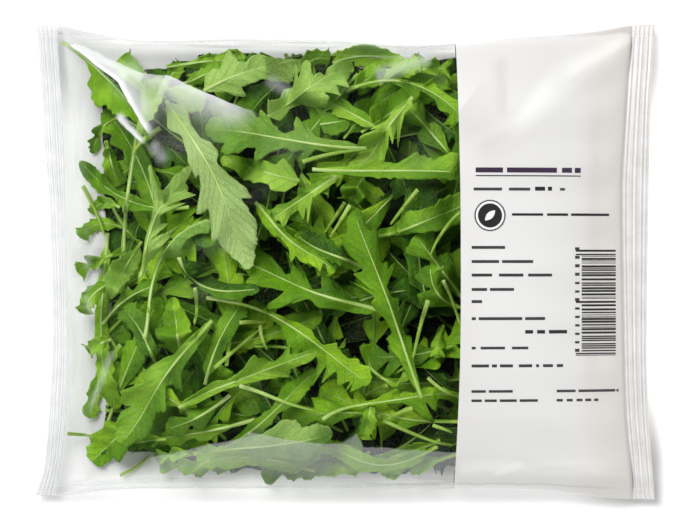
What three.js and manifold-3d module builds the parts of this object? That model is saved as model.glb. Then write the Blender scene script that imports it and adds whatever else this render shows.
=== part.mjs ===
// Pillow bag of salad leaves, lying flat with its window side up.
// The bag is one closed solid: filled body, two ribbed end seals, back seam, and the leaves that
// press against the film.
// Millimetres, +Z up. X runs from seal to seal, Y across the bag, the table is at z = 0.

import * as THREE from 'three';
import { mergeVertices } from 'three/addons/utils/BufferGeometryUtils.js';
import Module from 'manifold-3d';

// Film cut and filling
const bagLength = 250;         // outer edge to outer edge of the end seals, at the corners
const bagWidth = 190;          // fold to fold, at the corners
const crownHeight = 44;        // table to the highest point of the film
const foldHeight = 13;         // height of the side folds and the seals half way along
const cornerHeight = 4.5;      // height of the four corners
const foldRounding = 0.52;     // exponent of the rise next to a fold, under 1 is rounder
const sealSteepness = 0.78;    // exponent of the rise next to a seal

// End seals
const sealPly = 1.0;           // thickness of the pressed film
const sealDroop = 4.5;         // how far the free edge hangs below the inner line, half way along
const ribCount = 5;            // ribs across each seal
const ribRise = 0.35;          // height of a rib above the valleys

// Pleats that the seals gather, and creases that run in from the corners
const pleatCount = 9;
const pleatRise = 1.1;
const pleatReach = 34;
const creaseRise = 1.6;
const creaseWidth = 6;
const creaseReach = 46;
const creaseAngle = 0.62;      // radians from the long side

// Back seam, a flat lap on the underside
const seamWidth = 12;
const seamLift = 0.6;          // how far the lap holds the film beside it off the table
const seamFade = 10;
const seamEnd = 15;            // from the bag's end to the end of the lap

// How far each edge is drawn in where the filling is thick, as [place, offset from the middle line]
const topFold = [[-125, 96], [-115, 95.6], [-104, 93.2], [-82, 89.8], [-40, 90.2], [-5, 89.5],
  [27, 87.4], [63, 90.1], [100, 93.1], [115, 95.6], [125, 96]];
const bottomFold = [[-126, -94], [-116, -94.4], [-95, -91.6], [-50, -91], [14, -91.1], [75, -91.4],
  [94, -93.4], [108, -95.2], [125, -96]];
const leftEdge = [[-96, -125.7], [-84, -121.7], [-67, -120], [-32, -118], [20, -119.3], [50, -121.6],
  [70, -122.5], [96, -125.2]];
const leftInner = [[-96, -117.2], [-80, -114.2], [-60, -112], [-32, -111.4], [20, -112.4], [50, -113.3],
  [82, -115.5], [96, -116.4]];
const rightInner = [[-96, 116.4], [-79, 115], [-60, 113.2], [-32, 112.2], [30, 111.4], [52, 112.6],
  [86, 115.1], [96, 116.2]];
const rightEdge = [[-96, 125.4], [-82, 124], [-60, 122.3], [-37, 121.6], [28, 122.4], [64, 123.2],
  [80, 124.3], [96, 125.2]];

// Mesh steps
const bodyColumns = 27;
const bodyRows = 27;

// Leaves that press against the window
const leafRelief = 1.0;        // how far the lowest leaf stands out of the film's level
const leafStep = 0.4;          // the next of three layers stands this much higher
const leafRoot = 1.6;          // how deep a leaf reaches into the body
const stalkHalf = 0.9;         // half the width of a leaf's stalk

// Each leaf from stalk to tip: points of its midrib, then the lobe ends and the bays of both its sides, and
// how far ahead its lobes lean for each millimetre that they reach out
const leaves = [
  {
    midrib: [[-112.5, 88], [-98.5, 76.5], [-81.5, 56.5]],
    edge: [[-100, 78.5], [-104.5, 72], [-102.5, 66], [-97, 63.5], [-94, 60], [-86.5, 58.5], [-94, 74.5],
      [-87, 65.5]],
    lean: 0.4,
  },
  {
    midrib: [[-87, -66], [-94, -72.5], [-102, -80.5]],
    edge: [[-90.5, -65], [-98, -67], [-104.5, -74], [-103.5, -82], [-97.5, -83], [-94, -79.5], [-88,
      -76.5]],
    lean: 0.4,
  },
  {
    midrib: [[-65.5, -38.5], [-67, -27], [-69, -14]],
    edge: [[-70.5, -35], [-75.5, -30], [-72.5, -25.5], [-72, -18.5], [-62.5, -34.5], [-60.5, -29], [-65,
      -17]],
    lean: 0.2,
  },
  {
    midrib: [[-56.5, 68.5], [-39, 76.5], [-17.5, 81.5]],
    edge: [[-56, 74.5], [-50, 77.5], [-46.5, 86], [-42.5, 80.5], [-36, 83.5], [-22, 82], [-48, 68],
      [-39, 66], [-40, 70], [-22, 72]],
    lean: 0.4,
  },
  {
    midrib: [[-58.5, -76.5], [-32, -73.5], [-5, -68]],
    edge: [[-38, -70], [-24.5, -62.5], [-19.5, -62.5], [-16.5, -65.5], [-7, -65], [-38, -77.5], [-32.5,
      -83], [-31, -78.5], [-18, -79.5], [-11.5, -74]],
    lean: 0.4,
  },
  {
    midrib: [[-9, -62.5], [10, -56], [32, -53.5], [49.5, -55.5]],
    edge: [[12.5, -54.5], [19.5, -50], [27.5, -52], [38, -49.5], [48, -53.5], [16, -56.5], [27, -58],
      [35.5, -64], [32.5, -56], [45.5, -58]],
    lean: 0.5,
  },
  {
    midrib: [[13.5, 10.5], [32, 16.5], [51, 24.5]],
    edge: [[14, 13.5], [24, 20.5], [35.5, 23], [46.5, 29], [19, 10.5], [33.5, 12], [46.5, 16.5]],
    lean: 0.4,
  },
  {
    midrib: [[27, 66], [16, 52], [1, 37.5]],
    edge: [[23.5, 64], [17, 57], [5.5, 50], [8, 46], [2, 40.5], [24, 59.5], [20.5, 55], [21, 45.5],
      [17.5, 50.5], [15.5, 40]],
    lean: 1.0,
  },
  {
    midrib: [[-3, 34.5], [-16, 26], [-29.5, 16.5]],
    edge: [[-7, 33.5], [-18.5, 30], [-20, 26], [-30, 21.5], [-8.5, 28.5], [-14.5, 24], [-14.5, 15.5],
      [-19, 20.5], [-24, 14]],
    lean: 0.8,
  },
  {
    midrib: [[-31, 58], [-18, 67], [3, 80.5]],
    edge: [[-34.5, 62], [-26, 66], [-22, 71], [-19, 73.5], [-19.5, 80.5], [-13.5, 80.5], [-13, 74.5],
      [-8, 75], [0, 81.5], [-28, 55], [-21.5, 62], [-11, 61.5], [-5.5, 66], [-9.5, 68], [-1.5, 66],
      [1.5, 69.5], [-3, 71.5], [3, 76.5]],
    lean: 0.6,
  },
  {
    midrib: [[8.5, 45.5], [-18, 48.5], [-56, 53]],
    edge: [[-7.5, 49], [-15, 52], [-19, 58.5], [-21, 52.5], [-28, 53.5], [-32, 61], [-38, 58], [-42.5,
      60.5], [-49.5, 60.5], [-49.5, 58], [-55.5, 55.5], [-6, 43.5], [-15.5, 44.5], [-17, 39.5], [-21,
      44], [-29.5, 44.5], [-36, 40], [-36, 45.5], [-47, 42.5], [-48, 47.5], [-54, 50]],
    lean: 0.6,
  },
  {
    midrib: [[-13, 37], [14, 36.5], [52.5, 35]],
    edge: [[6, 38.5], [13, 41.5], [20.5, 39.5], [28, 44], [35.5, 41.5], [48.5, 42.5], [8, 34], [24, 33],
      [48.5, 31.5]],
    lean: 0.5,
  },
  {
    midrib: [[13.5, -19], [-2, -15], [-18, -10], [-41.5, 0]],
    edge: [[5, -15], [-3, -10], [-5.5, -4], [-9.5, -4.5], [-9.5, -10.5], [-16, -8], [-19.5, 1], [-22.5,
      7.5], [-22, -4.5], [-26, -1.5], [-34, 6], [-39, 2.5], [3, -20], [-14.5, -14.5], [-24, -18], [-31,
      -16.5], [-24, -11.5], [-40, -8.5], [-39, -4]],
    lean: 0.9,
  },
  {
    midrib: [[-36, 24], [-21.5, 8.5], [-4, -4]],
    edge: [[-29.5, 20.5], [-28, 16.5], [-18, 8], [-10, 3.5], [-5, -1.5], [-32, 14.5], [-28, 10], [-22.5,
      6], [-20.5, 0], [-18.5, 2], [-6.5, -4.5]],
    lean: 0.5,
  },
  {
    midrib: [[30.5, -54], [23, -33], [17, -14.5], [10, 3], [3, 21.5]],
    edge: [[21.5, -38.5], [17, -30.5], [18.5, -27.5], [13, -20], [11.5, -13.5], [-0.5, -6.5], [7, -3],
      [-2, 10.5], [1, 15.5], [27, -36], [26.5, -30], [22, -24], [21.5, -18.5], [25.5, -12], [18.5,
      -13.5], [17, -3], [21.5, 2.5], [14.5, 0], [12.5, 14.5], [8.5, 14.5]],
    lean: 1.0,
  },
  {
    midrib: [[-55.5, -14], [-33.5, -18.5], [-10, -33.5], [9.5, -48.5]],
    edge: [[-24, -22], [-13, -27], [-9.5, -32.5], [-3, -32], [0, -37.5], [6.5, -39.5], [11, -44], [-26,
      -25], [-23, -33], [-20.5, -39.5], [-16.5, -32.5], [-11, -38.5], [-12.5, -49], [-7.5, -46], [-7,
      -40.5], [-3.5, -43.5], [-1, -53], [2, -47.5], [6, -50]],
    lean: 0.2,
  },
  {
    midrib: [[-66.5, -58], [-42.5, -47], [-11, -35]],
    edge: [[-52.5, -47.5], [-43.5, -44.5], [-36, -36], [-33.5, -38.5], [-25, -37], [-22, -32], [-16.5,
      -35.5], [-58.5, -56], [-40.5, -48.5], [-22.5, -46], [-20.5, -42]],
    lean: 1.0,
  },
  {
    midrib: [[-53, -23], [-69, -41.5], [-80.5, -59.5], [-90.5, -73]],
    edge: [[-62, -30], [-68, -36.5], [-81.5, -44], [-79.5, -47.5], [-90.5, -51.5], [-90, -57], [-85.5,
      -57.5], [-92, -64], [-57, -31.5], [-63.5, -40.5], [-65.5, -44.5], [-64.5, -51.5], [-69, -48.5],
      [-71.5, -60], [-75.5, -60], [-77.5, -68]],
    lean: 0.9,
  },
  {
    midrib: [[-82, -6], [-78, 11], [-71.5, 25], [-61.5, 38.5]],
    edge: [[-76.5, 21], [-78, 30.5], [-78, 39.5], [-74, 29], [-71, 31], [-65, 37], [-72.5, 11.5], [-66,
      14.5], [-74, 16.5], [-71, 22.5], [-59.5, 26], [-63.5, 32.5]],
    lean: 1.0,
  },
  {
    midrib: [[-71.5, 64.5], [-59, 46], [-48.5, 26], [-38, -2.5]],
    edge: [[-71, 54], [-63, 43.5], [-59.5, 33.5], [-58, 34], [-59.5, 19.5], [-54.5, 21], [-53, 8.5],
      [-50.5, 8.5], [-41, -1.5], [-63, 60], [-57.5, 49.5], [-50.5, 44.5], [-46.5, 35], [-36.5, 26.5],
      [-40, 24.5], [-34.5, 9], [-36, -1.5]],
    lean: 0.9,
  },
];

const wasm = await Module();
wasm.setup();

const clamp01 = (value) => Math.min(1, Math.max(0, value));
const smooth = (value) => clamp01(value) ** 2 * (3 - 2 * clamp01(value));
const lerp = (from, to, share) => from + (to - from) * share;

// Value of an edge at a place, eased between its points without overshoot
function along(points, place) {
  let k = 0;
  while (k < points.length - 2 && place > points[k + 1][0]) k += 1;
  const slope = (n) => {
    const before = points[Math.max(0, n - 1)];
    const after = points[Math.min(points.length - 1, n + 1)];
    return (after[1] - before[1]) / (after[0] - before[0]);
  };
  const [x0, y0] = points[k];
  const [x1, y1] = points[k + 1];
  const t = clamp01((place - x0) / (x1 - x0));
  const span = x1 - x0;
  const h = t * t * (3 - 2 * t);
  return lerp(y0, y1, h) + span * t * (1 - t) * ((1 - t) * slope(k) - t * slope(k + 1));
}

// Share of the way across the bag, -1 at the bottom fold and 1 at the top fold
function acrossShare(x, y) {
  const low = along(bottomFold, x);
  const high = along(topFold, x);
  return 2 * (y - low) / (high - low) - 1;
}

// Share of the way between the seals, -1 at the left inner line and 1 at the right one
function lengthShare(x, v) {
  const place = v * bagWidth / 2;
  const from = along(leftInner, place);
  const to = along(rightInner, place);
  return 2 * (x - from) / (to - from) - 1;
}

// Height of the line where the front and back film meet
function seamHeight(u, v) {
  const corner = Math.min(1, Math.abs(u)) ** 4 * Math.abs(v) ** 4;
  return lerp(foldHeight, cornerHeight, corner);
}

// Share of the full rise that the filling gives at a point of the body
function fullness(u, v) {
  const lengthwise = Math.max(0, 1 - Math.abs(u) ** 2.8) ** sealSteepness;
  const crosswise = Math.max(0, 1 - Math.abs(v) ** 2.5) ** foldRounding;
  return lengthwise * crosswise;
}

// Pleats, corner creases and the slow unevenness of the filling
function unevenness(x, y, u, v) {
  const fromSeal = (1 - Math.abs(u)) * bagLength / 2;
  const phase = u < 0 ? 0.6 : 2.1;
  const pleat = pleatRise * Math.sin(Math.PI * pleatCount * v + phase) * Math.exp(-fromSeal / pleatReach)
    * smooth(fromSeal / 8) * (1 - v ** 4);
  const dx = bagLength / 2 - Math.abs(x);
  const dy = bagWidth / 2 - Math.abs(y);
  const off = dx * Math.sin(creaseAngle) - dy * Math.cos(creaseAngle);
  const run = dx * Math.cos(creaseAngle) + dy * Math.sin(creaseAngle);
  const crease = creaseRise * Math.exp(-((off / creaseWidth) ** 2)) * Math.exp(-((run / creaseReach) ** 2));
  const filling = 0.9 * Math.sin(x / 17 + 1.3) * Math.cos(y / 14 - 0.4) + 0.6 * Math.sin(x / 9 - y / 11);
  return pleat + crease * smooth(run / 14) + filling * fullness(u, v);
}

// Rounds off the place where the underside meets the table
function restOn(floor, height) {
  const blend = 3.5;
  const above = height - floor;
  if (above <= -blend) return floor;
  if (above >= blend) return height;
  return floor + (above + blend) ** 2 / (4 * blend);
}

function filmTop(x, y) {
  const v = acrossShare(x, y);
  const u = lengthShare(x, v);
  const rise = crownHeight - foldHeight - sealPly / 2 - 1;
  const uneven = unevenness(x, y, u, v) * smooth((1 - Math.abs(v)) * 12);
  return seamHeight(u, v) + sealPly / 2 + rise * fullness(u, v) + uneven;
}

function filmUnderside(x, y) {
  const v = acrossShare(x, y);
  const u = lengthShare(x, v);
  const drop = crownHeight * 0.85;
  const beside = 1 - smooth((Math.abs(y) - seamWidth / 2 - 2) / seamFade);
  return restOn(seamLift * beside, seamHeight(u, v) - sealPly / 2 - drop * fullness(u, v));
}

// Joins two faces of a plate, given as columns of points, into one closed mesh with a wall all round
function closeFaces(upper, lower) {
  const rows = upper[0].length;
  const lastColumn = upper.length - 1;
  const lastRow = rows - 1;
  const low = upper.length * rows;
  const at = (i, j) => i * rows + j;
  const indices = [];
  const quad = (a, b, c, d) => indices.push(a, b, c, a, c, d);
  for (let i = 0; i < lastColumn; i += 1) {
    for (let j = 0; j < lastRow; j += 1) {
      quad(at(i, j), at(i + 1, j), at(i + 1, j + 1), at(i, j + 1));
      quad(low + at(i, j), low + at(i, j + 1), low + at(i + 1, j + 1), low + at(i + 1, j));
    }
    quad(at(i, 0), low + at(i, 0), low + at(i + 1, 0), at(i + 1, 0));
    quad(at(i + 1, lastRow), low + at(i + 1, lastRow), low + at(i, lastRow), at(i, lastRow));
  }
  for (let j = 0; j < lastRow; j += 1) {
    quad(at(0, j + 1), low + at(0, j + 1), low + at(0, j), at(0, j));
    const [near, far] = [at(lastColumn, j), at(lastColumn, j + 1)];
    quad(near, low + near, low + far, far);
  }
  const geometry = new THREE.BufferGeometry();
  const positions = [...upper.flat(), ...lower.flat()].flat();
  geometry.setAttribute('position', new THREE.Float32BufferAttribute(positions, 3));
  geometry.setIndex(indices);
  return geometry;
}

// Solid of a closed mesh, whose doubled points are merged and triangles without area dropped
function toSolid(geometry) {
  const merged = mergeVertices(geometry, 1e-4);
  const triangles = [];
  for (let n = 0; n < merged.index.count; n += 3) {
    const corners = [0, 1, 2].map((k) => merged.index.getX(n + k));
    if (new Set(corners).size === 3) triangles.push(...corners);
  }
  return new wasm.Manifold(new wasm.Mesh({
    numProp: 3,
    vertProperties: new Float32Array(merged.attributes.position.array),
    triVerts: new Uint32Array(triangles),
  }));
}

function toGeometry(solid) {
  const mesh = solid.getMesh();
  const geometry = new THREE.BufferGeometry();
  geometry.setAttribute('position', new THREE.BufferAttribute(new Float32Array(mesh.vertProperties), 3));
  geometry.setIndex(new THREE.BufferAttribute(new Uint32Array(mesh.triVerts), 1));
  geometry.computeVertexNormals();
  return geometry;
}

// Rows are closer together next to the folds, where the film turns over
const rowShares = Array.from({ length: bodyRows }, (_, j) => {
  const even = 2 * j / (bodyRows - 1) - 1;
  return Math.sin(even * Math.PI / 2 * 0.86) / Math.sin(Math.PI / 2 * 0.86);
});

// A column of the film from fold to fold; place gives its x and z at each row
function column(place) {
  const upper = [];
  const lower = [];
  for (const v of rowShares) {
    const { x, top, bottom } = place(v);
    const y = lerp(along(bottomFold, x), along(topFold, x), (v + 1) / 2);
    upper.push([x, y, top(y)]);
    lower.push([x, y, bottom(y)]);
  }
  for (const j of [0, rowShares.length - 1]) {
    const joined = (upper[j][2] + lower[j][2]) / 2;
    upper[j][2] = joined;
    lower[j][2] = joined;
  }
  return { upper, lower };
}

// Ribbed seal, from its free edge (share 0) to its inner line (share 1)
function sealColumns(side) {
  const outer = side < 0 ? leftEdge : rightEdge;
  const inner = side < 0 ? leftInner : rightInner;
  return Array.from({ length: 2 * ribCount }, (_, n) => {
    const share = n / (2 * ribCount);
    const rib = n % 2 === 1 ? ribRise : 0;
    return column((v) => {
      const edge = v * bagWidth / 2;
      const middle = seamHeight(side, v) - sealDroop * (1 - share) * (1 - v * v) ** 0.8 + rib;
      return {
        x: lerp(along(outer, edge), along(inner, edge), share),
        top: () => middle + sealPly / 2,
        bottom: () => middle - sealPly / 2,
      };
    });
  });
}

function bodyColumn(n) {
  const even = 2 * n / (bodyColumns - 1) - 1;
  const share = (Math.sin(even * Math.PI / 2 * 0.7) / Math.sin(Math.PI / 2 * 0.7) + 1) / 2;
  return column((v) => {
    const edge = v * bagWidth / 2;
    const x = lerp(along(leftInner, edge), along(rightInner, edge), share);
    return { x, top: (y) => filmTop(x, y), bottom: (y) => filmUnderside(x, y) };
  });
}

function makeFilm() {
  const columns = [
    ...sealColumns(-1),
    ...Array.from({ length: bodyColumns }, (_, n) => bodyColumn(n)),
    ...sealColumns(1).reverse(),
  ];
  return toSolid(closeFaces(columns.map((c) => c.upper), columns.map((c) => c.lower)));
}

// Lap of film along the underside, between the two end seals, following the film where it lifts
function makeBackSeam() {
  const steps = 20;
  const rows = [-seamWidth / 2, seamWidth / 2];
  const half = bagLength / 2 - seamEnd;
  const stations = Array.from({ length: steps + 1 }, (_, n) => lerp(-half, half, n / steps));
  const face = (x, lift) => rows.map((y) => [x, y, filmUnderside(x, y) + lift]);
  return toSolid(closeFaces(stations.map((x) => face(x, seamLift)), stations.map((x) => face(x, -seamLift))));
}

// Sorts the lobe ends and bays to the two sides of the midrib, each as [share of the midrib, reach]
function sideReaches(midrib, { edge, lean }) {
  const sides = [[[0, stalkHalf]], [[0, stalkHalf]]];
  const shares = Array.from({ length: 95 }, (_, n) => 0.03 + n / 100);
  for (const [x, y] of edge) {
    const feet = shares.map((share) => {
      const foot = midrib.getPoint(share);
      const heading = midrib.getTangent(share);
      const [dx, dy] = [x - foot.x, y - foot.y];
      const off = dy * heading.x - dx * heading.y;
      const miss = Math.abs(dx * heading.x + dy * heading.y - lean * Math.abs(off));
      return { share, off, miss: miss + 0.03 * Math.abs(off) };
    });
    const nearest = feet.reduce((best, foot) => (foot.miss < best.miss ? foot : best));
    sides[nearest.off > 0 ? 1 : 0].push([nearest.share, Math.abs(nearest.off)]);
  }
  return sides.map((side) => {
    side.sort((a, b) => a[0] - b[0]);
    const stalkEnd = Math.max(0.01, side[1][0] - 0.12);
    return [side[0], [stalkEnd, stalkHalf], ...side.slice(1), [1, 0.3]];
  });
}

function reachAt(side, share) {
  const next = Math.max(1, side.findIndex((knot) => knot[0] >= share));
  const [from, to] = [side[next - 1], side[next]];
  return lerp(from[1], to[1], clamp01((share - from[0]) / Math.max(1e-6, to[0] - from[0])));
}

// Places along the midrib where the leaf's outline turns, no closer than a hundredth of its length
function stationsOf(sides) {
  const shares = sides.flat().map((knot) => knot[0]).sort((a, b) => a - b);
  const kept = shares.filter((share, n) => n === 0 || share - shares[n - 1] > 0.009);
  return kept.at(-1) < 1 ? [...kept.slice(0, -1), 1] : kept;
}

// Thin lobed leaf that follows the film: both faces have the same triangles
function makeLeaf(leaf, order) {
  const midrib = new THREE.SplineCurve(leaf.midrib.map((point) => new THREE.Vector2(...point)));
  const sides = sideReaches(midrib, leaf);
  const relief = leafRelief + leafStep * (order % 3);
  const rows = [-1, -0.4, 0.4, 1];
  const faces = [[], []];
  for (const share of stationsOf(sides)) {
    const foot = midrib.getPoint(share);
    const heading = midrib.getTangent(share);
    const leant = leaf.lean * smooth((0.98 - share) / 0.2);
    const points = rows.map((row) => {
      const off = row * reachAt(sides[row > 0 ? 1 : 0], share);
      const ahead = leant * Math.abs(off);
      return [foot.x - heading.y * off + heading.x * ahead, foot.y + heading.x * off + heading.y * ahead];
    });
    const edgeDrop = (row) => (Math.abs(row) === 1 ? leafStep : 0);
    faces[0].push(points.map(([x, y], k) => [x, y, filmTop(x, y) + relief - edgeDrop(rows[k])]));
    faces[1].push(points.map(([x, y]) => [x, y, filmTop(x, y) - leafRoot]));
  }
  return toSolid(closeFaces(faces[0], faces[1]));
}

const fused = leaves.map(makeLeaf).reduce((whole, leaf) => whole.add(leaf), makeFilm().add(makeBackSeam()));

const bag = new THREE.Mesh(
  toGeometry(fused),
  new THREE.MeshStandardMaterial({ color: 0x7fa65a, roughness: 0.32, metalness: 0 }),
);
bag.name = 'bag';

const saladBag = new THREE.Group();
saladBag.add(bag);

export default saladBag;
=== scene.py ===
# Sealed pillow bag of rocket leaves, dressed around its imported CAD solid. Metres, +Z up, window side up.
import bpy
import bmesh
import math
import numpy as np
from functools import partial
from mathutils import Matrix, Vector


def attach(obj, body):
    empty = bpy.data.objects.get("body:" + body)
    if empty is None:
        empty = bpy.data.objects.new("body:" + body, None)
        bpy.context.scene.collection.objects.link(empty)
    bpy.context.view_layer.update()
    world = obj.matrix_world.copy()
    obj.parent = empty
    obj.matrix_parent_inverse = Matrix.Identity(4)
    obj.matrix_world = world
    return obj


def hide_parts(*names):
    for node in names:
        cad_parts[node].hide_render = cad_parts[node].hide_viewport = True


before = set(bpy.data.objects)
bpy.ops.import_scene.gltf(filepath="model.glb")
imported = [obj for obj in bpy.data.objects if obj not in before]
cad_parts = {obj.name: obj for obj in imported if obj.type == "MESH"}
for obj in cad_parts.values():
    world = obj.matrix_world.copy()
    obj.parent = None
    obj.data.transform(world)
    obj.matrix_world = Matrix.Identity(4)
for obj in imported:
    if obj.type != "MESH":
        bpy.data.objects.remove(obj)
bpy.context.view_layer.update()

mm = 0.001
rng = np.random.default_rng(11)

# Cut of the film in mm: how far each edge is drawn in, as (place along the edge, offset from the middle)
filmOutline = {
    "topFold": [(-125, 96), (-115, 95.6), (-104, 93.2), (-82, 89.8), (-40, 90.2), (-5, 89.5),
                (27, 87.4), (63, 90.1), (100, 93.1), (115, 95.6), (125, 96)],
    "bottomFold": [(-126, -94), (-116, -94.4), (-95, -91.6), (-50, -91), (14, -91.1), (75, -91.4),
                   (94, -93.4), (108, -95.2), (125, -96)],
    "leftEdge": [(-96, -125.7), (-84, -121.7), (-67, -120), (-32, -118), (20, -119.3), (50, -121.6),
                 (70, -122.5), (96, -125.2)],
    "leftInner": [(-96, -117.2), (-80, -114.2), (-60, -112), (-32, -111.4), (20, -112.4), (50, -113.3),
                  (82, -115.5), (96, -116.4)],
    "rightInner": [(-96, 116.4), (-79, 115), (-60, 113.2), (-32, 112.2), (30, 111.4), (52, 112.6),
                   (86, 115.1), (96, 116.2)],
    "rightEdge": [(-96, 125.4), (-82, 124), (-60, 122.3), (-37, 121.6), (28, 122.4), (64, 123.2),
                  (80, 124.3), (96, 125.2)],
    "panelEdge": [(-96, 43.7), (-40, 45.7), (20, 45.9), (60, 45.3), (96, 44.4)],
}
# Shape of the filled bag in mm, as its CAD solid has it
bagForm = {"length": 250, "width": 190, "crown": 44, "foldHeight": 13, "cornerHeight": 4.5,
           "foldRounding": 0.52, "sealSteepness": 0.78, "ply": 0.6, "sealDroop": 4.5,
           "ribs": 5, "ribRise": 0.3, "pleats": 9, "pleatRise": 1.0, "pleatReach": 34,
           "creaseRise": 1.6, "creaseWidth": 6, "creaseReach": 46, "creaseAngle": 0.62,
           "lapWidth": 12, "lapLift": 0.6, "lapFade": 10}


def smooth(value):
    t = np.clip(value, 0, 1)
    return t * t * (3 - 2 * t)


def along(edge, place):   # offset of an edge at a place, eased through its points
    points = np.array(filmOutline[edge], float)
    at, off = points[:, 0], points[:, 1]
    ahead = np.minimum(np.arange(len(at)) + 1, len(at) - 1)
    behind = np.maximum(np.arange(len(at)) - 1, 0)
    slope = (off[ahead] - off[behind]) / (at[ahead] - at[behind])
    k = np.clip(np.searchsorted(at, place, side="right") - 1, 0, len(at) - 2)
    span = at[k + 1] - at[k]
    t = np.clip((place - at[k]) / span, 0, 1)
    bulge = span * t * (1 - t) * ((1 - t) * slope[k] - t * slope[k + 1])
    return off[k] + (off[k + 1] - off[k]) * t * t * (3 - 2 * t) + bulge


def shares(x, y):   # place between the seals and between the folds, each from -1 to 1
    low, high = along("bottomFold", x), along("topFold", x)
    v = np.clip(2 * (y - low) / (high - low) - 1, -1, 1)
    start = along("leftInner", v * bagForm["width"] / 2)
    end = along("rightInner", v * bagForm["width"] / 2)
    u = np.clip(2 * (x - start) / (end - start) - 1, -1, 1)
    return u, v


def seamHeight(u, v):   # where the front and back film meet
    corner = np.minimum(1, np.abs(u)) ** 4 * np.abs(v) ** 4
    return bagForm["foldHeight"] + (bagForm["cornerHeight"] - bagForm["foldHeight"]) * corner


def fullness(u, v):   # share of the full rise that the filling gives
    lengthwise = np.clip(1 - np.abs(u) ** 2.8, 0, 1) ** bagForm["sealSteepness"]
    crosswise = np.clip(1 - np.abs(v) ** 2.5, 0, 1) ** bagForm["foldRounding"]
    return lengthwise * crosswise


def unevenness(x, y, u, v):   # pleats from the seals, corner creases and the lie of the filling
    f = bagForm
    fromSeal = (1 - np.abs(u)) * f["length"] / 2
    phase = np.where(u < 0, 0.6, 2.1)
    pleat = f["pleatRise"] * np.sin(np.pi * f["pleats"] * v + phase) * np.exp(-fromSeal / f["pleatReach"])
    pleat = pleat * smooth(fromSeal / 8) * (1 - v ** 4)
    dx = f["length"] / 2 - np.abs(x)
    dy = f["width"] / 2 - np.abs(y)
    off = dx * math.sin(f["creaseAngle"]) - dy * math.cos(f["creaseAngle"])
    run = dx * math.cos(f["creaseAngle"]) + dy * math.sin(f["creaseAngle"])
    crease = f["creaseRise"] * np.exp(-(off / f["creaseWidth"]) ** 2 - (run / f["creaseReach"]) ** 2)
    filling = 0.9 * np.sin(x / 17 + 1.3) * np.cos(y / 14 - 0.4) + 0.6 * np.sin(x / 9 - y / 11)
    filling = filling * (1 - 0.85 * smooth((x - 36) / 14))   # the empty end of the bag is smoother
    return pleat + crease * smooth(run / 14) + filling * fullness(u, v)


# Sharp creases of the film in mm: start, end, rise, and how far it slopes away to the left and to the right
filmCreases = {
    "window": [((-116, 90), (-34, 59), 1.5, 3, 16), ((-112, 88), (-76, 46), 1.2, 14, 3),
               ((-92, 56), (-80, 46), 0.8, 4, 2), ((12, 74), (34, 82), 0.9, 3, 5),
               ((-112, -20), (-98, 14), 0.9, 5, 3), ((-112, -60), (-94, -36), 0.9, 3, 6),
               ((-80, -78), (-52, -73), 1.1, 2.5, 6), ((-52, -73), (-8, -75), 1.1, 2.5, 6),
               ((-8, -75), (8, -70), 1.0, 2.5, 5), ((8, -70), (46, -76), 1.1, 2.5, 6)],
    "panel": [((118, 92), (62, 44), 1.2, 16, 14), ((112, -88), (60, -76), 1.0, 4, 9),
              ((114, 60), (108, -60), 0.6, 9, 5), ((54, -84), (104, -80), 0.8, 3, 8)],
    "folds": [((-100, -88.4), (100, -89), 0.5, 1.2, 2.5), ((-100, 87.6), (100, 87.6), 0.4, 2.5, 1.2)],
}


def creaseRelief(x, y):
    relief = np.zeros_like(x)
    for (x0, y0), (x1, y1), rise, leftWidth, rightWidth in sum(filmCreases.values(), []):
        length = math.hypot(x1 - x0, y1 - y0)
        dx, dy = (x1 - x0) / length, (y1 - y0) / length
        run = (x - x0) * dx + (y - y0) * dy
        off = (y - y0) * dx - (x - x0) * dy
        width = np.where(off > 0, leftWidth, rightWidth)
        ends = smooth((run + 4) / 12) * smooth((length + 4 - run) / 12)
        relief += rise * np.exp(-np.abs(off) / width) * ends
    return relief


def filmTop(x, y):
    u, v = shares(x, y)
    rise = bagForm["crown"] - bagForm["foldHeight"] - 1.5
    inner = smooth((1 - np.abs(v)) * 12)
    uneven = (unevenness(x, y, u, v) + creaseRelief(x, y) * smooth((1 - np.abs(u)) * 30)) * inner
    return seamHeight(u, v) + bagForm["ply"] / 2 + rise * fullness(u, v) + uneven


def filmUnderside(x, y):
    u, v = shares(x, y)
    beside = 1 - smooth((np.abs(y) - bagForm["lapWidth"] / 2 - 2) / bagForm["lapFade"])
    floor = bagForm["lapLift"] * beside + 0.05
    blend = 3.5
    above = seamHeight(u, v) - bagForm["ply"] / 2 - bagForm["crown"] * 0.85 * fullness(u, v) - floor
    rounded = (np.clip(above, -blend, blend) + blend) ** 2 / (4 * blend)
    return floor + np.where(above > blend, above, rounded)


# A grid mesh made once, with the share along and across it that each vertex has, from 0 to 1
def makeTemplate(columns, rows):
    bm = bmesh.new()
    bmesh.ops.create_grid(bm, x_segments=columns, y_segments=rows, size=1)
    mesh = bpy.data.meshes.new("template")
    bm.to_mesh(mesh)
    bm.free()
    places = np.empty(len(mesh.vertices) * 3)
    mesh.vertices.foreach_get("co", places)
    places = places.reshape(-1, 3)[:, :2]
    low, high = places.min(0), places.max(0)
    return mesh, (places - low) / (high - low)


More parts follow.
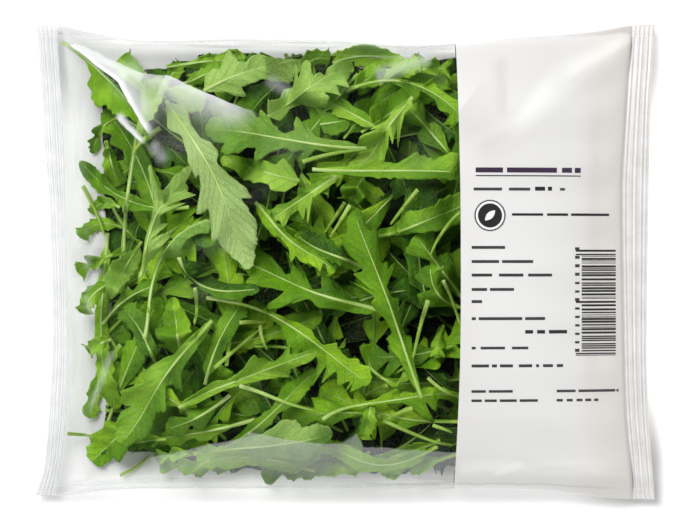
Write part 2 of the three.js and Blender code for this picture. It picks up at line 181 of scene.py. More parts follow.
# Joins copies of a template, each with its own points in mm, into one object
def joinCopies(name, template, copies, merge=0.0, maps=None, tones=None):
    bm = bmesh.new()
    for _ in copies:
        bm.from_mesh(template)
    mesh = bpy.data.meshes.new(name)
    bm.to_mesh(mesh)
    bm.free()
    mesh.vertices.foreach_set("co", (np.concatenate(copies) * mm).ravel())
    if maps is not None:
        corner = np.empty(len(mesh.loops), int)
        mesh.loops.foreach_get("vertex_index", corner)
        uv = mesh.uv_layers.new(name="surfaceMap")
        uv.data.foreach_set("uv", (np.concatenate(maps) * mm * 10)[corner].ravel())
    for key, values in (tones or {}).items():
        attribute = mesh.attributes.new(key, "FLOAT", "POINT")
        attribute.data.foreach_set("value", np.concatenate(values))
    if merge:
        bm = bmesh.new()
        bm.from_mesh(mesh)
        bmesh.ops.remove_doubles(bm, verts=bm.verts, dist=merge)
        bmesh.ops.dissolve_degenerate(bm, edges=bm.edges, dist=1e-7)
        bm.to_mesh(mesh)
        bm.free()
    for face in mesh.polygons:
        face.use_smooth = True
    piece = bpy.data.objects.new(name, mesh)
    bpy.context.scene.collection.objects.link(piece)
    return piece


def faceOutwards(piece):
    bm = bmesh.new()
    bm.from_mesh(piece.data)
    bmesh.ops.recalc_face_normals(bm, faces=bm.faces)
    bm.to_mesh(piece.data)
    bm.free()


# Milky places of the window, partly where the film is creased or doubled and partly painted reflection of
# the lights: an axis in mm, how far the veil reaches to its left and right at its start and end, over what
# share of that it fades, how soft its ends are in mm, and strength. An entry takes from plainVeil what it
# leaves out.
plainVeil = {"left": (0.4, 0.4), "right": (0.4, 0.4), "soft": (1, 1), "ends": (3, 4)}
filmMilkAndReflections = [
    {"axis": [(-113.5, 90.4), (-85, 67.7)], "left": (0.8, 10), "soft": (0.35, 1), "ends": (3, 8),
     "strength": 0.66},
    {"axis": [(-113.5, 90.4), (-86, 68.5)], "left": (1.5, 5.5), "ends": (3, 7), "strength": 0.92},
    {"axis": [(-93.5, 77.2), (-77.6, 49.4)], "left": (6.5, 4), "ends": (7, 6), "strength": 0.9},
    {"axis": [(-95, 79.8), (-77.6, 49.4)], "left": (17, 9), "ends": (9, 14), "strength": 0.55},
    {"axis": [(-114, 90.4), (-78, 73.8)], "right": (2, 8), "soft": (1, 0.9), "strength": 0.6},
    {"axis": [(-83, 75.6), (-70, 74)], "left": (0.5, 0.5), "right": (8, 11), "ends": (3, 1.5),
     "strength": 0.42},
    {"axis": [(-72.5, 74.9), (-33, 58)], "right": (9, 4), "ends": (0.8, 18), "strength": 0.68},
    {"axis": [(-72.5, 74.9), (-33, 58)], "right": (17, 11), "ends": (0.8, 12), "strength": 0.48},
    {"axis": [(-92, 59.5), (-79.5, 46.6)], "left": (3.2, 1.6), "right": (1.6, 1), "soft": (1, 0.8),
     "strength": 0.85},
    {"axis": [(-78, 48.5), (-70.5, 39)], "left": (4, 4), "right": (4, 4), "strength": 0.24},
    {"axis": [(-32, 74), (-21, 67)], "left": (4, 4), "right": (4, 4), "ends": (3, 3), "strength": 0.2},
    {"axis": [(11, 74), (35, 82)], "left": (5, 5), "right": (5, 4), "ends": (3, 3), "strength": 0.3},
    {"axis": [(-80, -79), (-34, -68.6)], "left": (0.8, 0.8), "right": (20, 24), "soft": (1, 0.8),
     "ends": (5, 0.5), "strength": 0.25},
    {"axis": [(-39, -67.8), (-2, -75.4)], "left": (0.8, 0.8), "right": (24, 24), "soft": (1, 0.7),
     "ends": (0.5, 2.5), "strength": 0.26},
    {"axis": [(-30, -70.7), (48, -76.6)], "left": (0.8, 0.8), "right": (24, 20), "soft": (1, 0.7),
     "ends": (0.5, 0.5), "strength": 0.24},
    {"axis": [(-2, -75.5), (6, -70)], "left": (3, 3), "right": (14, 9), "soft": (0.5, 0.8),
     "ends": (4, 0.6), "strength": 0.2},
    {"axis": [(-100, 10), (-104.5, -4)], "left": (2.6, 2.6), "right": (2.6, 2.6), "ends": (4, 3),
     "strength": 0.16},
    {"axis": [(-96.5, -1.5), (-105.5, -12.5)], "left": (2.4, 2.4), "right": (2.4, 2.4), "soft": (1, 0.7),
     "ends": (2, 3), "strength": 0.2},
    {"axis": [(-105, -12), (-101, -23)], "left": (2.4, 2.4), "right": (2.4, 2.4), "ends": (3, 3),
     "strength": 0.18},
    {"axis": [(-92.6, -34), (-104, -62.5)], "left": (2.4, 2), "right": (2.4, 2), "soft": (0.7, 1),
     "ends": (6, 9), "strength": 0.2},
]


# Painted shade and painted highlights on the panel, lighter and darker where its film bends towards or away
# from the lights, in the same form, darker if strength is under 0
paintedPanelShading = [
    {"axis": [(118, 91), (82, 72)], "left": (2, 4), "right": (3, 9), "soft": (1, 0.9), "ends": (8, 14),
     "strength": 0.34},
    {"axis": [(88, 80), (64, 49)], "left": (14, 5), "right": (6, 4), "ends": (14, 14), "strength": 0.3},
    {"axis": [(72, 58), (45, 46)], "left": (3, 4), "right": (6, 5), "ends": (8, 12), "strength": 0.12},
    {"axis": [(62, 84), (64, 56)], "left": (5, 2), "right": (5, 6), "ends": (5, 9), "strength": -0.22},
    {"axis": [(44, 92), (120, 94)], "left": (9, 9), "right": (4.5, 3), "soft": (0.4, 0.5), "ends": (1, 9),
     "strength": -0.5},
    {"axis": [(44, 90), (110, 90)], "left": (9, 9), "right": (34, 26), "soft": (0.4, 1), "ends": (1, 30),
     "strength": -0.25},
    {"axis": [(48, 2), (100, 2)], "left": (45, 45), "right": (88, 88), "soft": (1, 0.8), "ends": (10, 30),
     "strength": 0.12},
    {"axis": [(44, 60), (70, 40)], "left": (24, 20), "right": (16, 14), "ends": (2, 16), "strength": -0.3},
    {"axis": [(100, 70), (98, -60)], "left": (5, 5), "right": (5, 5), "ends": (20, 20), "strength": -0.1},
    {"axis": [(58, -86), (72, -80)], "left": (2, 3), "right": (2, 3), "ends": (4, 4), "strength": 0.3},
    {"axis": [(44, -82), (110, -84)], "left": (6, 6), "right": (5, 5), "ends": (4, 12), "strength": 0.3},
    {"axis": [(44, -88.6), (112, -90.5)], "left": (0.8, 0.8), "right": (0.8, 0.8), "ends": (1, 9),
     "strength": -0.35},
]


def filmSection(name, edges, columns, rows, seal=0):
    template, grid = makeTemplate(columns, 2 * rows)
    share = grid[:, 0]
    inward = share if seal <= 0 else 1 - share
    turn = np.round(grid[:, 1] * 2 * rows)   # 0..rows over the top, then back along the underside
    onTop = turn <= rows
    step = np.where(onTop, turn, 2 * rows - turn) / rows
    v = np.sin((2 * step - 1) * math.pi / 2 * 0.93) / math.sin(math.pi / 2 * 0.93)
    place = v * bagForm["width"] / 2
    x = along(edges[0], place) * (1 - share) + along(edges[1], place) * share
    y = along("bottomFold", x) * (1 - v) / 2 + along("topFold", x) * (1 + v) / 2
    fold = np.abs(v) > 0.9999
    if seal:
        ribs = np.sin(np.pi * 2 * bagForm["ribs"] * inward - 1.2)
        ribs = ribs * smooth(inward * 8) * smooth((1 - inward) * 8)
        droop = bagForm["sealDroop"] * (1 - inward) * (1 - v * v) ** 0.8
        middle = seamHeight(np.full_like(v, seal), v) - droop + bagForm["ribRise"] * ribs
        ply = bagForm["ply"] * np.where((inward < 1e-6) | fold, 0, 1)
        z = middle + np.where(onTop, ply, -ply) / 2
    else:
        top, under = filmTop(x, y), filmUnderside(x, y)
        z = np.where(fold, (top + under) / 2, np.where(onTop, top, under))
    copies = [np.stack([x, y, z], 1)]
    piece = joinCopies(name, template, copies, merge=2e-6, maps=[np.stack([x, y], 1)],
                       tones={"inward": [inward], "towardsFold": [np.abs(v)]})
    faceOutwards(piece)
    return piece


def backSeam(halfLength, halfWidth):   # the lap that joins the back film, lying along the underside
    template, grid = makeTemplate(150, 10)
    x = (grid[:, 0] * 2 - 1) * halfLength
    y = (grid[:, 1] * 2 - 1) * halfWidth
    rib = 0.06 * np.sin((grid[:, 1] * 5) * 2 * math.pi)
    z = filmUnderside(x, y) - 0.3 + rib
    piece = joinCopies("back_seam", template, [np.stack([x, y, z], 1)],
                       tones={"inward": [grid[:, 1]], "towardsFold": [np.zeros(len(x))]})
    shell = piece.modifiers.new("ply", "SOLIDIFY")
    shell.thickness = 0.12 * mm
    shell.offset = 0
    return piece


# Marks printed on the panel, in mm. A word is a dash; ink 0 is black, 0.5 dark violet and 1 white. The
# badge is a scalloped disc with a leaf on it, and the bars run along the bag.
printedWords = [
    {"y": 36.8, "height": 3.3, "ink": 0.5, "words": [(51.9, 62.8), (64.4, 84.5), (86.6, 90.6), (91.8, 94.2)]},
    {"y": 29.2, "height": 1.9, "ink": 0.25, "words": [(51.1, 62.4), (65.2, 73.7)]},
    {"y": 29.4, "height": 2.6, "ink": 0, "words": [(75.7, 79.7), (80.9, 82.5)]},
    {"y": 29.2, "height": 1.7, "ink": 0.25, "words": [(85.8, 87.8)]},
    {"y": 19.1, "height": 1.6, "ink": 0, "words": [(66.4, 78.9), (80.5, 89), (90.2, 105.9)]},
    {"y": 6, "height": 1.9, "ink": 0.2, "words": [(50.3, 63.6)]},
    {"y": 0.4, "height": 1.9, "ink": 0.2, "words": [(50.3, 61.2), (62.4, 74.9)]},
    {"y": -5, "height": 1.9, "ink": 0.15, "words": [(50.3, 58.4), (61.2, 70.9), (72.9, 82.5)]},
    {"y": -10.7, "height": 1.9, "ink": 0.2, "words": [(50.3, 56.4), (57.6, 67.2)]},
    {"y": -15.5, "height": 1.9, "ink": 0.2, "words": [(50.3, 54.4)]},
    {"y": -22.3, "height": 1.9, "ink": 0.2, "words": [(50.3, 51.9), (53.1, 70.5), (71.7, 79.7)]},
    {"y": -27.6, "height": 2.3, "ink": 0, "words": [(71.7, 74.9), (76.5, 79.7), (81.3, 88.6)]},
    {"y": -34, "height": 1.7, "ink": 0.2, "words": [(50.3, 51.9), (53.9, 63.6), (66.4, 72.9)]},
    {"y": -41.1, "height": 1.9, "ink": 0.2, "words": [(50.3, 57.2), (58.4, 60.4), (61.6, 66.8),
               (69.2, 74.5), (76.1, 77.3), (78.9, 82.9), (84.5, 87)]},
    {"y": -51.3, "height": 1.7, "ink": 0.2, "words": [(50.3, 56), (57.2, 66.8), (84.5, 92.2), (93.4, 109.9)]},
    {"y": -55, "height": 1.7, "ink": 0.2, "words": [(50.3, 54.4), (55.6, 60.4), (61.6, 68.4), (69.6, 76.9),
               (84.5, 87), (88.6, 91), (92.6, 95), (96.2, 98.6), (99.8, 101.5)]},
]
printedBars = {"left": 94.6, "guardLeft": 92.2, "right": 108.7, "low": -37.2, "high": 5.4, "count": 40,
               "ink": 0.0}
printedBadge = {"centre": (57.6, 18.7), "radius": 6.2, "scallops": 40, "ring": (5.3, 5.7), "disc": 4.8,
                "leaf": (5.6, 2.6)}
printLift = 0.09


def printedMarks():   # left, right, low, high and ink of every block and bar
    marks = []
    for line in printedWords:
        half = line["height"] * 0.3
        for left, right in line["words"]:
            marks.append((left, right, line["y"] - half, line["y"] + half, line["ink"]))
    heading = printedWords[0]
    marks.append((heading["words"][0][0], heading["words"][-1][1], heading["y"] - 2.5, heading["y"] - 2.05,
                  heading["ink"]))
    bars = printedBars
    thickness = rng.choice([0.45, 0.45, 0.9, 0.9, 1.35], 2 * bars["count"])
    thickness *= (bars["high"] - bars["low"]) / thickness.sum()
    edges = bars["low"] + np.concatenate([[0], np.cumsum(thickness)])
    for n in range(bars["count"]):
        guard = n < 2 or n > bars["count"] - 3 or abs(n - bars["count"] / 2) < 1
        marks.append((bars["guardLeft"] if guard else bars["left"], bars["right"], edges[2 * n],
                      edges[2 * n + 1], bars["ink"]))
    for n in range(13):   # small blocks beside the bars
        low = bars["low"] + 1.5 + n * (bars["high"] - bars["low"]) / 12.6
        marks.append((bars["guardLeft"] - 0.3, bars["left"] - 0.9, low, low + rng.choice([0.9, 1.2]), 0.15))
    return marks


def printPiece(name, marks):
    template, grid = makeTemplate(8, 1)
    copies, inks = [], []
    for left, right, low, high, ink in marks:
        x = left + grid[:, 0] * (right - left)
        y = low + grid[:, 1] * (high - low)
        copies.append(np.stack([x, y, filmTop(x, y) + printLift], 1))
        inks.append(np.full(len(x), ink))
    return joinCopies(name, template, copies, tones={"ink": inks})


def badgePiece(name):   # discs one over the other, then a leaf, each a grid bent round
    b = printedBadge
    template, grid = makeTemplate(16, 160)
    turn = grid[:, 1] * 2 * math.pi
    copies, inks = [], []
    for order, (radius, ink) in enumerate([(b["radius"], 0), (b["ring"][1], 1), (b["disc"], 0)]):
        reach = radius * (1 + (0.03 if order == 0 else 0) * np.sin(turn * b["scallops"])) * grid[:, 0]
        x, y = b["centre"][0] + reach * np.cos(turn), b["centre"][1] + reach * np.sin(turn)
        copies.append(np.stack([x, y, filmTop(x, y) + printLift + 0.03 * order], 1))
        inks.append(np.full(len(x), ink))
    length, width = b["leaf"]
    run = (grid[:, 1] - 0.5) * length
    side = (grid[:, 0] * 2 - 1) * width / 2 * np.sin(grid[:, 1] * math.pi) ** 0.8
    # dark vein down its middle
    side = np.where(np.abs(side) < 0.12, 0.12 * np.sign(grid[:, 0] - 0.49), side)
    x, y = b["centre"][0] + (run - side) * 0.707, b["centre"][1] + (run + side) * 0.707
    copies.append(np.stack([x, y, filmTop(x, y) + printLift + 0.09], 1))
    inks.append(np.full(len(x), 1))
    return joinCopies(name, template, copies, merge=1e-6, tones={"ink": inks})


print("film")
windowFilm = filmSection("window_film", ("leftInner", "panelEdge"), 110, 110)
panelFilm = filmSection("panel_film", ("panelEdge", "rightInner"), 50, 110)
leftSeal = filmSection("left_seal", ("leftEdge", "leftInner"), 30, 110, seal=-1)
rightSeal = filmSection("right_seal", ("rightInner", "rightEdge"), 30, 110, seal=1)
seam = backSeam(110, 6)
marks = printPiece("print_marks", printedMarks())
badge = badgePiece("print_badge")

print("leaves")
# Smaller leaves that show: midrib from stalk to tip in mm, width in mm, habit and tone
topLeaves = [
    ([(12, 75), (32, 82)], 8, "slim", 0.75), ([(26, 75), (36, 78), (44, 77)], 9, "deep", 0.6),
    ([(-79, 67), (-91, 83)], 11, "wavy", 0.7), ([(-72, 73), (-66, 81)], 8, "wavy", 0.55),
    ([(-72, 79), (-40, 82)], 8, "slim", 0.6), ([(-66, 72), (-50, 79)], 9, "wavy", 0.5),
    ([(-90, -33), (-103, -63)], 8, "wavy", 0.75), ([(-96, 49), (-91, 31)], 9, "wavy", 0.5),
    ([(-87, 57), (-79, 49)], 8, "wavy", 0.4),
    ([(-96, 12), (-98, -15), (-97, -44), (-91, -59)], 9, "wavy", 0.7),
    ([(-95, 25), (-89, 14), (-83, 8)], 4, "slim", 0.6),
    ([(-90, 59), (-100, 51), (-102, 44)], 6, "slim", 0.4),
    ([(-62, 22), (-87, 25), (-107, 41)], 8, "slim", 0.5),
    ([(-98, -25), (-83, -12), (-75, -9)], 8, "slim", 0.5), ([(-76, -41), (-89, -18)], 12, "wavy", 0.3),
    ([(-36, -63), (-52, -67), (-76, -71)], 9, "slim", 0.6), ([(-46, -53), (-72, -67)], 10, "slim", 0.4),
    ([(-56, -49), (-48, -27), (-41, -16)], 11, "wavy", 0.35), ([(-10, 55), (2, 57)], 11, "plain", 0.35),
    ([(13, 53), (0, 61), (-8, 65)], 9, "wavy", 0.6), ([(8, 35), (2, 24)], 11, "wavy", 0.4),
    ([(-36, 24), (-22, 9), (-4, -4)], 10, "wavy", 0.45), ([(50, -18), (34, 3), (28, 11)], 15, "deep", 0.5),
    ([(44, 40), (32, 55), (25, 62)], 13, "deep", 0.45), ([(52, -19), (36, -11), (34, -1)], 13, "deep", 0.5),
    ([(40, -25), (37, -38)], 7, "slim", 0.6), ([(11, -55), (7, -71)], 8, "wavy", 0.5),
    ([(10, -42), (22, -47), (26, -42)], 4, "slim", 0.7),
    ([(-63, -77), (-46, -73), (-26, -57), (-11, -43)], 9, "slim", 0.5),
    ([(38, -71), (12, -80), (-24, -84)], 9, "wavy", 0.7),
    ([(-90, 14), (-101, 15), (-107, 10)], 8, "wavy", 0.7),
    ([(-93, 3), (-103, -1), (-108, -4)], 9, "deep", 0.8),
    ([(-92, -8), (-101, -13), (-105, -21)], 8, "wavy", 0.75), ([(-94, -31), (-104, -36)], 8, "wavy", 0.7),
    ([(-90, 22), (-98, 24), (-103, 20)], 6, "wavy", 0.6),
    ([(-40, -78), (-50, -82), (-62, -83)], 8, "deep", 0.6),
    ([(-10, -78), (-22, -84), (-34, -85)], 9, "deep", 0.6),
    ([(46, -76), (30, -81), (14, -84)], 8, "deep", 0.7), ([(10, -76), (2, -83)], 8, "deep", 0.75),
    ([(-12, -84), (-34, -79), (-60, -79)], 12, "wavy", 0.72),
    ([(-54, -79), (-64, -82), (-75, -80)], 9, "deep", 0.8),
    ([(-58, -77), (-68, -77), (-77, -79)], 7, "deep", 0.7),
    ([(37, -73.5), (22, -80.3), (12, -81), (0, -76.7), (-20, -83)], 10, "wavy", 0.6),
    ([(-5, 80.5), (8, 83.5), (24, 80)], 9, "plain", 0.95),
    ([(-18, 75), (-13, 82), (-6, 82)], 9, "wavy", 0.4), ([(2, 70), (16, 79)], 11, "wavy", 0.7),
    ([(14, 71), (30, 80)], 9, "wavy", 0.85), ([(-73, 71), (-56, 64)], 11, "wavy", 0.95),
    ([(-72, -71), (-87, -73.5)], 8, "wavy", 0.5)
]
# The larger leaves that show, from the lowest to the topmost, in mm as they lie under the window: midrib
# from stalk to tip, then the lobe ends and bays of both its sides, how far the lobes lean to the tip,
# tone from dark to pale, and how grey the green is
outlinedLeaves = [
    {"lean": 0.5, "tone": 0.66, "grey": 0.0,
     "midrib": [(-87, -66), (-94, -72.5), (-102.5, -80.5)],
     "edge": [(-90.5, -65), (-96, -63.5), (-98, -67), (-103, -69.5), (-104.5, -74), (-105, -78),
              (-103.5, -82), (-100, -83), (-97.5, -83), (-94, -79.5), (-91, -80.5), (-88, -76.5),
              (-86.5, -71.5)]},
    {"lean": 0.1, "tone": 0.38, "grey": 0.1,
     "midrib": [(-114, 89), (-98.5, 76.5), (-88.5, 66), (-81.5, 56.5)],
     "edge": [(-100, 78.5), (-102.5, 76), (-104.5, 72), (-102.5, 69.5), (-102.5, 66), (-100, 62), (-97, 63),
              (-94, 60), (-90, 58), (-86.5, 58.5), (-97, 76.5), (-94, 74.5), (-91, 70.5), (-87, 65.5),
              (-83.5, 61.5)]},
    {"lean": 0.3, "tone": 0.98, "grey": 1.0,
     "midrib": [(-89, 4), (-87.5, 25), (-85, 41.5), (-81.5, 57.5), (-72, 73.5)],
     "edge": [(-84.5, 48.5), (-82.5, 57.5), (-81.5, 62), (-82, 68), (-80.5, 72), (-76, 74.5), (-83.5, 45.5),
              (-79.5, 55), (-75.5, 58), (-73, 64), (-71.5, 69.5)]},
    {"lean": 0.4, "tone": 0.92, "grey": 0.9,
     "midrib": [(-56.5, 68.5), (-48.5, 72.5), (-39, 76.5), (-29.5, 79.5), (-17.5, 81.5)],
     "edge": [(-57, 71), (-56, 74.5), (-53, 77.5), (-50, 77.5), (-49, 81.5), (-46.5, 86), (-44.5, 83),
              (-42.5, 80.5), (-39.5, 80.5), (-37.5, 83), (-35.5, 83.5), (-28, 82.5), (-22, 82), (-53.5, 68),
              (-48, 68), (-42.5, 66), (-39, 66), (-41, 70), (-36, 72), (-33.5, 73.5), (-27, 72.5),
              (-22, 72), (-19.5, 76)]},
    {"lean": 0.3, "tone": 0.85, "grey": 0.5,
     "midrib": [(-18, 32.5), (-32, 36), (-42.5, 39.5), (-49.5, 41.5)],
     "edge": [(-20.5, 36.5), (-22, 39.5), (-24.5, 41.5), (-28, 39), (-33.5, 41.5), (-40.5, 42),
              (-19.5, 30.5), (-24.5, 28), (-29.5, 28.5), (-31, 31), (-36.5, 31.5), (-41, 33), (-44.5, 37),
              (-48.5, 38.5)]},
    {"lean": 0.0, "tone": 0.75, "grey": 0.7,
     "midrib": [(-82, 8.5), (-88, -1.5), (-94.5, -14.5)],
     "edge": [(-85, 5.5), (-90, 3), (-94.5, -0.5), (-96.5, -5.5), (-96, -11), (-81.5, 2), (-83, -3),
              (-86.5, -7.5), (-90, -10.5)]},
    {"lean": 0.2, "tone": 0.57, "grey": 0.3,
     "midrib": [(-65.5, -38.5), (-67, -27), (-69, -14)],
     "edge": [(-70.5, -35), (-72.5, -32.5), (-75.5, -33), (-75.5, -30), (-76, -26.5), (-72.5, -25.5),
              (-73.5, -22.5), (-72, -18.5), (-62.5, -34.5), (-60.5, -29), (-61.5, -24), (-63.5, -20.5),
              (-66, -16.5)]},
    {"lean": 0.5, "tone": 0.62, "grey": 1.0,
     "midrib": [(-60.5, -76.5), (-42.5, -74.5), (-32, -73.5), (-18, -71.5), (-5, -68)],
     "edge": [(-42.5, -71.5), (-38, -69.5), (-33.5, -68.5), (-29.5, -66), (-24.5, -62.5), (-19.5, -62.5),
              (-16.5, -65.5), (-11.5, -64), (-7, -65), (-40, -76.5), (-36, -80), (-32.5, -83), (-31, -78.5),
              (-24.5, -78.5), (-18, -79.5), (-13.5, -78), (-11.5, -74)]},
    {"lean": 0.6, "tone": 0.56, "grey": 0.05,
     "midrib": [(-9, -62.5), (0, -58.5), (10, -56), (22, -54.5), (32, -53.5), (40.5, -52), (49.5, -55.5)],
     "edge": [(12.5, -54.5), (16, -52), (19.5, -50), (23.5, -51.5), (27.5, -52), (31, -50), (38, -49.5),
              (43, -51.5), (48, -53.5), (16, -56.5), (23, -56), (27, -58), (31.5, -62.5), (35.5, -64),
              (36, -59.5), (32.5, -56), (38, -54.5), (45.5, -58)]},
    {"lean": 0.4, "tone": 0.48, "grey": 0.4,
     "midrib": [(12, 10.5), (22, 12.5), (32, 16.5), (40.5, 20), (52.5, 25)],
     "edge": [(14, 13.5), (19, 14.5), (21.5, 17.5), (24, 20.5), (30, 21), (35.5, 23), (38.5, 26),
              (44.5, 28), (49.5, 29), (19, 10.5), (26, 11.5), (33.5, 12), (40, 12.5), (45.5, 15),
              (50.5, 19.5)]},
    {"lean": 0.3, "tone": 0.58, "grey": 0.2,
     "midrib": [(0.5, 68.5), (10, 72), (22, 72.5), (32, 69.5), (40.5, 64), (47, 57.5)],
     "edge": [(32, 71), (35, 74.5), (37.5, 69.5), (42.5, 66), (46.5, 64), (24, 69.5), (26.5, 66.5),
              (28, 63.5), (30, 66), (30.5, 68.5), (36, 65), (38, 60.5), (38.5, 54), (40.5, 49), (43, 53.5),
              (42.5, 58.5)]},
    {"lean": 1.2, "tone": 1.05, "grey": 0.5,
     "midrib": [(27, 66), (21.5, 59.5), (16, 52), (11.5, 44.5), (0.5, 37)],
     "edge": [(23.5, 64), (19.5, 61.5), (17, 57), (13.5, 53.5), (9.5, 52.5), (6, 50.5), (5, 47.5), (8, 46),
              (5, 43.5), (2, 40.5), (27.5, 63), (24, 59.5), (20.5, 56), (20, 51.5), (21, 45.5), (19, 47),
              (17.5, 50.5), (17, 45.5), (15.5, 40), (10, 39)]},
    {"lean": 0.9, "tone": 0.68, "grey": 0.5,
     "midrib": [(-3, 34.5), (-10, 30), (-16, 26), (-22, 22), (-29.5, 16.5)],
     "edge": [(-7, 33.5), (-12.5, 32), (-15.5, 29.5), (-18.5, 30), (-19.5, 26), (-22.5, 24), (-27, 23),
              (-30, 21.5), (-3, 32.5), (-8.5, 28.5), (-13, 25.5), (-15.5, 22), (-14.5, 15.5), (-16.5, 16.5),
              (-19, 20.5), (-22, 18.5), (-24, 14), (-27, 16.5)]},
    {"lean": 0.3, "tone": 0.24, "grey": 0.0,
     "midrib": [(7.5, -2), (-2, 2), (-11, 5.5), (-19.5, 11.5)],
     "edge": [(2, 5), (-0.5, 7.5), (-3, 6), (-5, 9), (-9.5, 12), (-14, 13), (-18, 13), (4, -4), (-1, -2),
              (-7, 0), (-12.5, 2), (-17.5, 6)]},
    {"lean": 0.6, "tone": 0.84, "grey": 0.8,
     "midrib": [(-31, 58), (-24, 63), (-18, 67), (-11, 72), (-4.5, 76), (3, 80.5)],
     "edge": [(-33.5, 60.5), (-35, 62.5), (-30, 64.5), (-26, 66), (-24.5, 69.5), (-21, 70.5), (-19, 73.5),
              (-19.5, 80.5), (-16.5, 81.5), (-13.5, 80.5), (-13, 74.5), (-10.5, 76), (-8, 75), (-7, 78),
              (-3, 80.5), (1, 81.5), (-28, 55), (-24.5, 58), (-21.5, 62), (-17.5, 63.5), (-13.5, 62.5),
              (-10, 61.5), (-7, 62.5), (-5.5, 66), (-8, 67.5), (-4.5, 67.5), (-1.5, 66), (1.5, 69.5),
              (-1, 70.5), (-3, 71), (1, 73.5), (3, 76.5)]},
    {"lean": 0.6, "tone": 0.52, "grey": 0.7,
     "midrib": [(8.5, 45.5), (-2, 46), (-12, 47), (-22, 49), (-33.5, 50.5), (-44.5, 52.5), (-56, 53)],
     "edge": [(0, 48.5), (-7.5, 49), (-11.5, 50), (-15, 52), (-16.5, 56.5), (-19, 58.5), (-21, 56.5),
              (-20, 52.5), (-24.5, 51.5), (-28, 53.5), (-30.5, 58), (-33.5, 61), (-35, 58), (-38, 61),
              (-42.5, 60.5), (-45, 59.5), (-48.5, 61), (-49.5, 58), (-53.5, 58), (-55.5, 55.5), (2, 43.5),
              (-6, 43.5), (-12, 45), (-16.5, 44.5), (-16.5, 39.5), (-19, 40), (-21, 44), (-24, 45.5),
              (-29.5, 44), (-33.5, 41), (-36, 40), (-36.5, 43), (-35.5, 45.5), (-39, 45.5), (-43, 43),
              (-47, 42.5), (-50, 44), (-48, 47.5), (-52.5, 48), (-54, 50)]},
    {"lean": 0.5, "tone": 0.58, "grey": 0.35,
     "midrib": [(-13, 37), (-2, 36.5), (14, 36.5), (30, 36.5), (53.5, 35)],
     "edge": [(-3, 38), (6, 38.5), (13, 41.5), (16.5, 40), (20.5, 39.5), (24.5, 41.5), (28, 44), (32, 43),
              (35.5, 41.5), (42.5, 44), (48.5, 42), (-2, 35), (8, 34), (16, 33), (24, 33), (32, 33),
              (40.5, 32.5), (48.5, 31.5)]},
    {"lean": 0.9, "tone": 0.3, "grey": 0.15,
     "midrib": [(13.5, -19), (6, -17), (-2, -15), (-10, -12.5), (-18, -10), (-26, -6), (-33.5, -2.5),
                (-42.5, 0.5)],
     "edge": [(10, -16.5), (5, -15), (0, -13.5), (-3, -10), (-5, -6.5), (-5.5, -4), (-9.5, -4),
              (-9.5, -7.5), (-9.5, -10.5), (-13, -10.5), (-16, -8), (-18, -3.5), (-19.5, 2.5), (-22, 7.5),
              (-23.5, 4.5), (-22, -0.5), (-21.5, -4.5), (-24, -4.5), (-26, -1.5), (-29.5, 2.5), (-35, 6),
              (-38, 4), (10, -21), (3, -20), (-4, -18.5), (-10, -18), (-14.5, -14.5), (-18.5, -14.5),
              (-22, -16.5), (-26, -18.5), (-30.5, -18.5), (-31, -16.5), (-26, -13.5), (-24, -11.5),
              (-28, -10.5), (-35, -9.5), (-40, -8.5), (-38, -5.5), (-41, -2.5)]},
    {"lean": 0.5, "tone": 0.58, "grey": 0.15,
     "midrib": [(-36, 24), (-28, 15), (-21.5, 8.5), (-14, 3.5), (-4, -4)],
     "edge": [(-32, 22.5), (-29.5, 20.5), (-28, 16.5), (-24.5, 14.5), (-21, 10.5), (-18, 8), (-13.5, 6),
              (-10, 3.5), (-8.5, 0), (-5, -1.5), (-35, 19.5), (-32, 14.5), (-28.5, 10.5), (-26, 10),
              (-22.5, 6), (-21.5, 0), (-19.5, 2.5), (-17.5, 0), (-13.5, -1), (-10, -4), (-6.5, -4.5)]},
    {"lean": 1.0, "tone": 0.43, "grey": 0.1,
     "midrib": [(30.5, -54), (27, -43.5), (23, -33), (19.5, -23), (17, -14.5), (13.5, -5.5), (10, 3),
                (6.5, 11), (3, 21.5)],
     "edge": [(24, -43.5), (21.5, -38.5), (18, -34.5), (17, -30.5), (18.5, -27.5), (16, -22.5), (13, -20),
              (10.5, -16.5), (11.5, -13.5), (9.5, -10.5), (5, -9), (-0.5, -6.5), (3, -5), (7, -3), (5, 0),
              (1, 3.5), (-1.5, 7.5), (-2, 10.5), (1, 11), (0.5, 15.5), (1.5, 19.5), (28.5, -44), (27, -36),
              (26.5, -30), (24, -28.5), (22, -24), (21.5, -18.5), (23.5, -16), (25.5, -12), (21.5, -14.5),
              (18.5, -13.5), (16.5, -9.5), (17, -3), (19, 0), (21.5, 2.5), (17.5, 0.5), (14.5, 0),
              (13.5, 6), (13, 12.5), (12, 14.5), (10, 12.5), (8, 15), (6.5, 19.5)]},
    {"lean": 0.2, "tone": 0.58, "grey": 0.2,
     "midrib": [(-55.5, -14), (-44.5, -16.5), (-33.5, -18.5), (-25.5, -23), (-18, -28.5), (-10, -33.5),
                (-2, -39.5), (9.5, -48.5)],
     "edge": [(-24, -22), (-16.5, -25), (-13, -27), (-11.5, -30), (-8.5, -33), (-3, -32), (-1, -35.5),
              (1, -38), (5.5, -38.5), (6.5, -40.5), (10, -41.5), (11, -45.5), (-26, -25), (-24, -30),
              (-22.5, -34), (-21.5, -39.5), (-19, -39.5), (-18, -35), (-16.5, -32.5), (-12.5, -35),
              (-11, -38.5), (-11.5, -43.5), (-13, -49), (-10, -49.5), (-7.5, -46), (-8, -42), (-7, -40.5),
              (-3.5, -43.5), (-3, -49), (-1, -53), (2, -51.5), (2, -47.5), (3, -47.5), (5, -50.5), (7, -49)]},
    {"lean": 1.1, "tone": 0.6, "grey": 0.45,
     "midrib": [(-66.5, -58), (-58.5, -53.5), (-50.5, -50), (-42.5, -47), (-33.5, -43.5), (-24, -40),
                (-11, -35)],
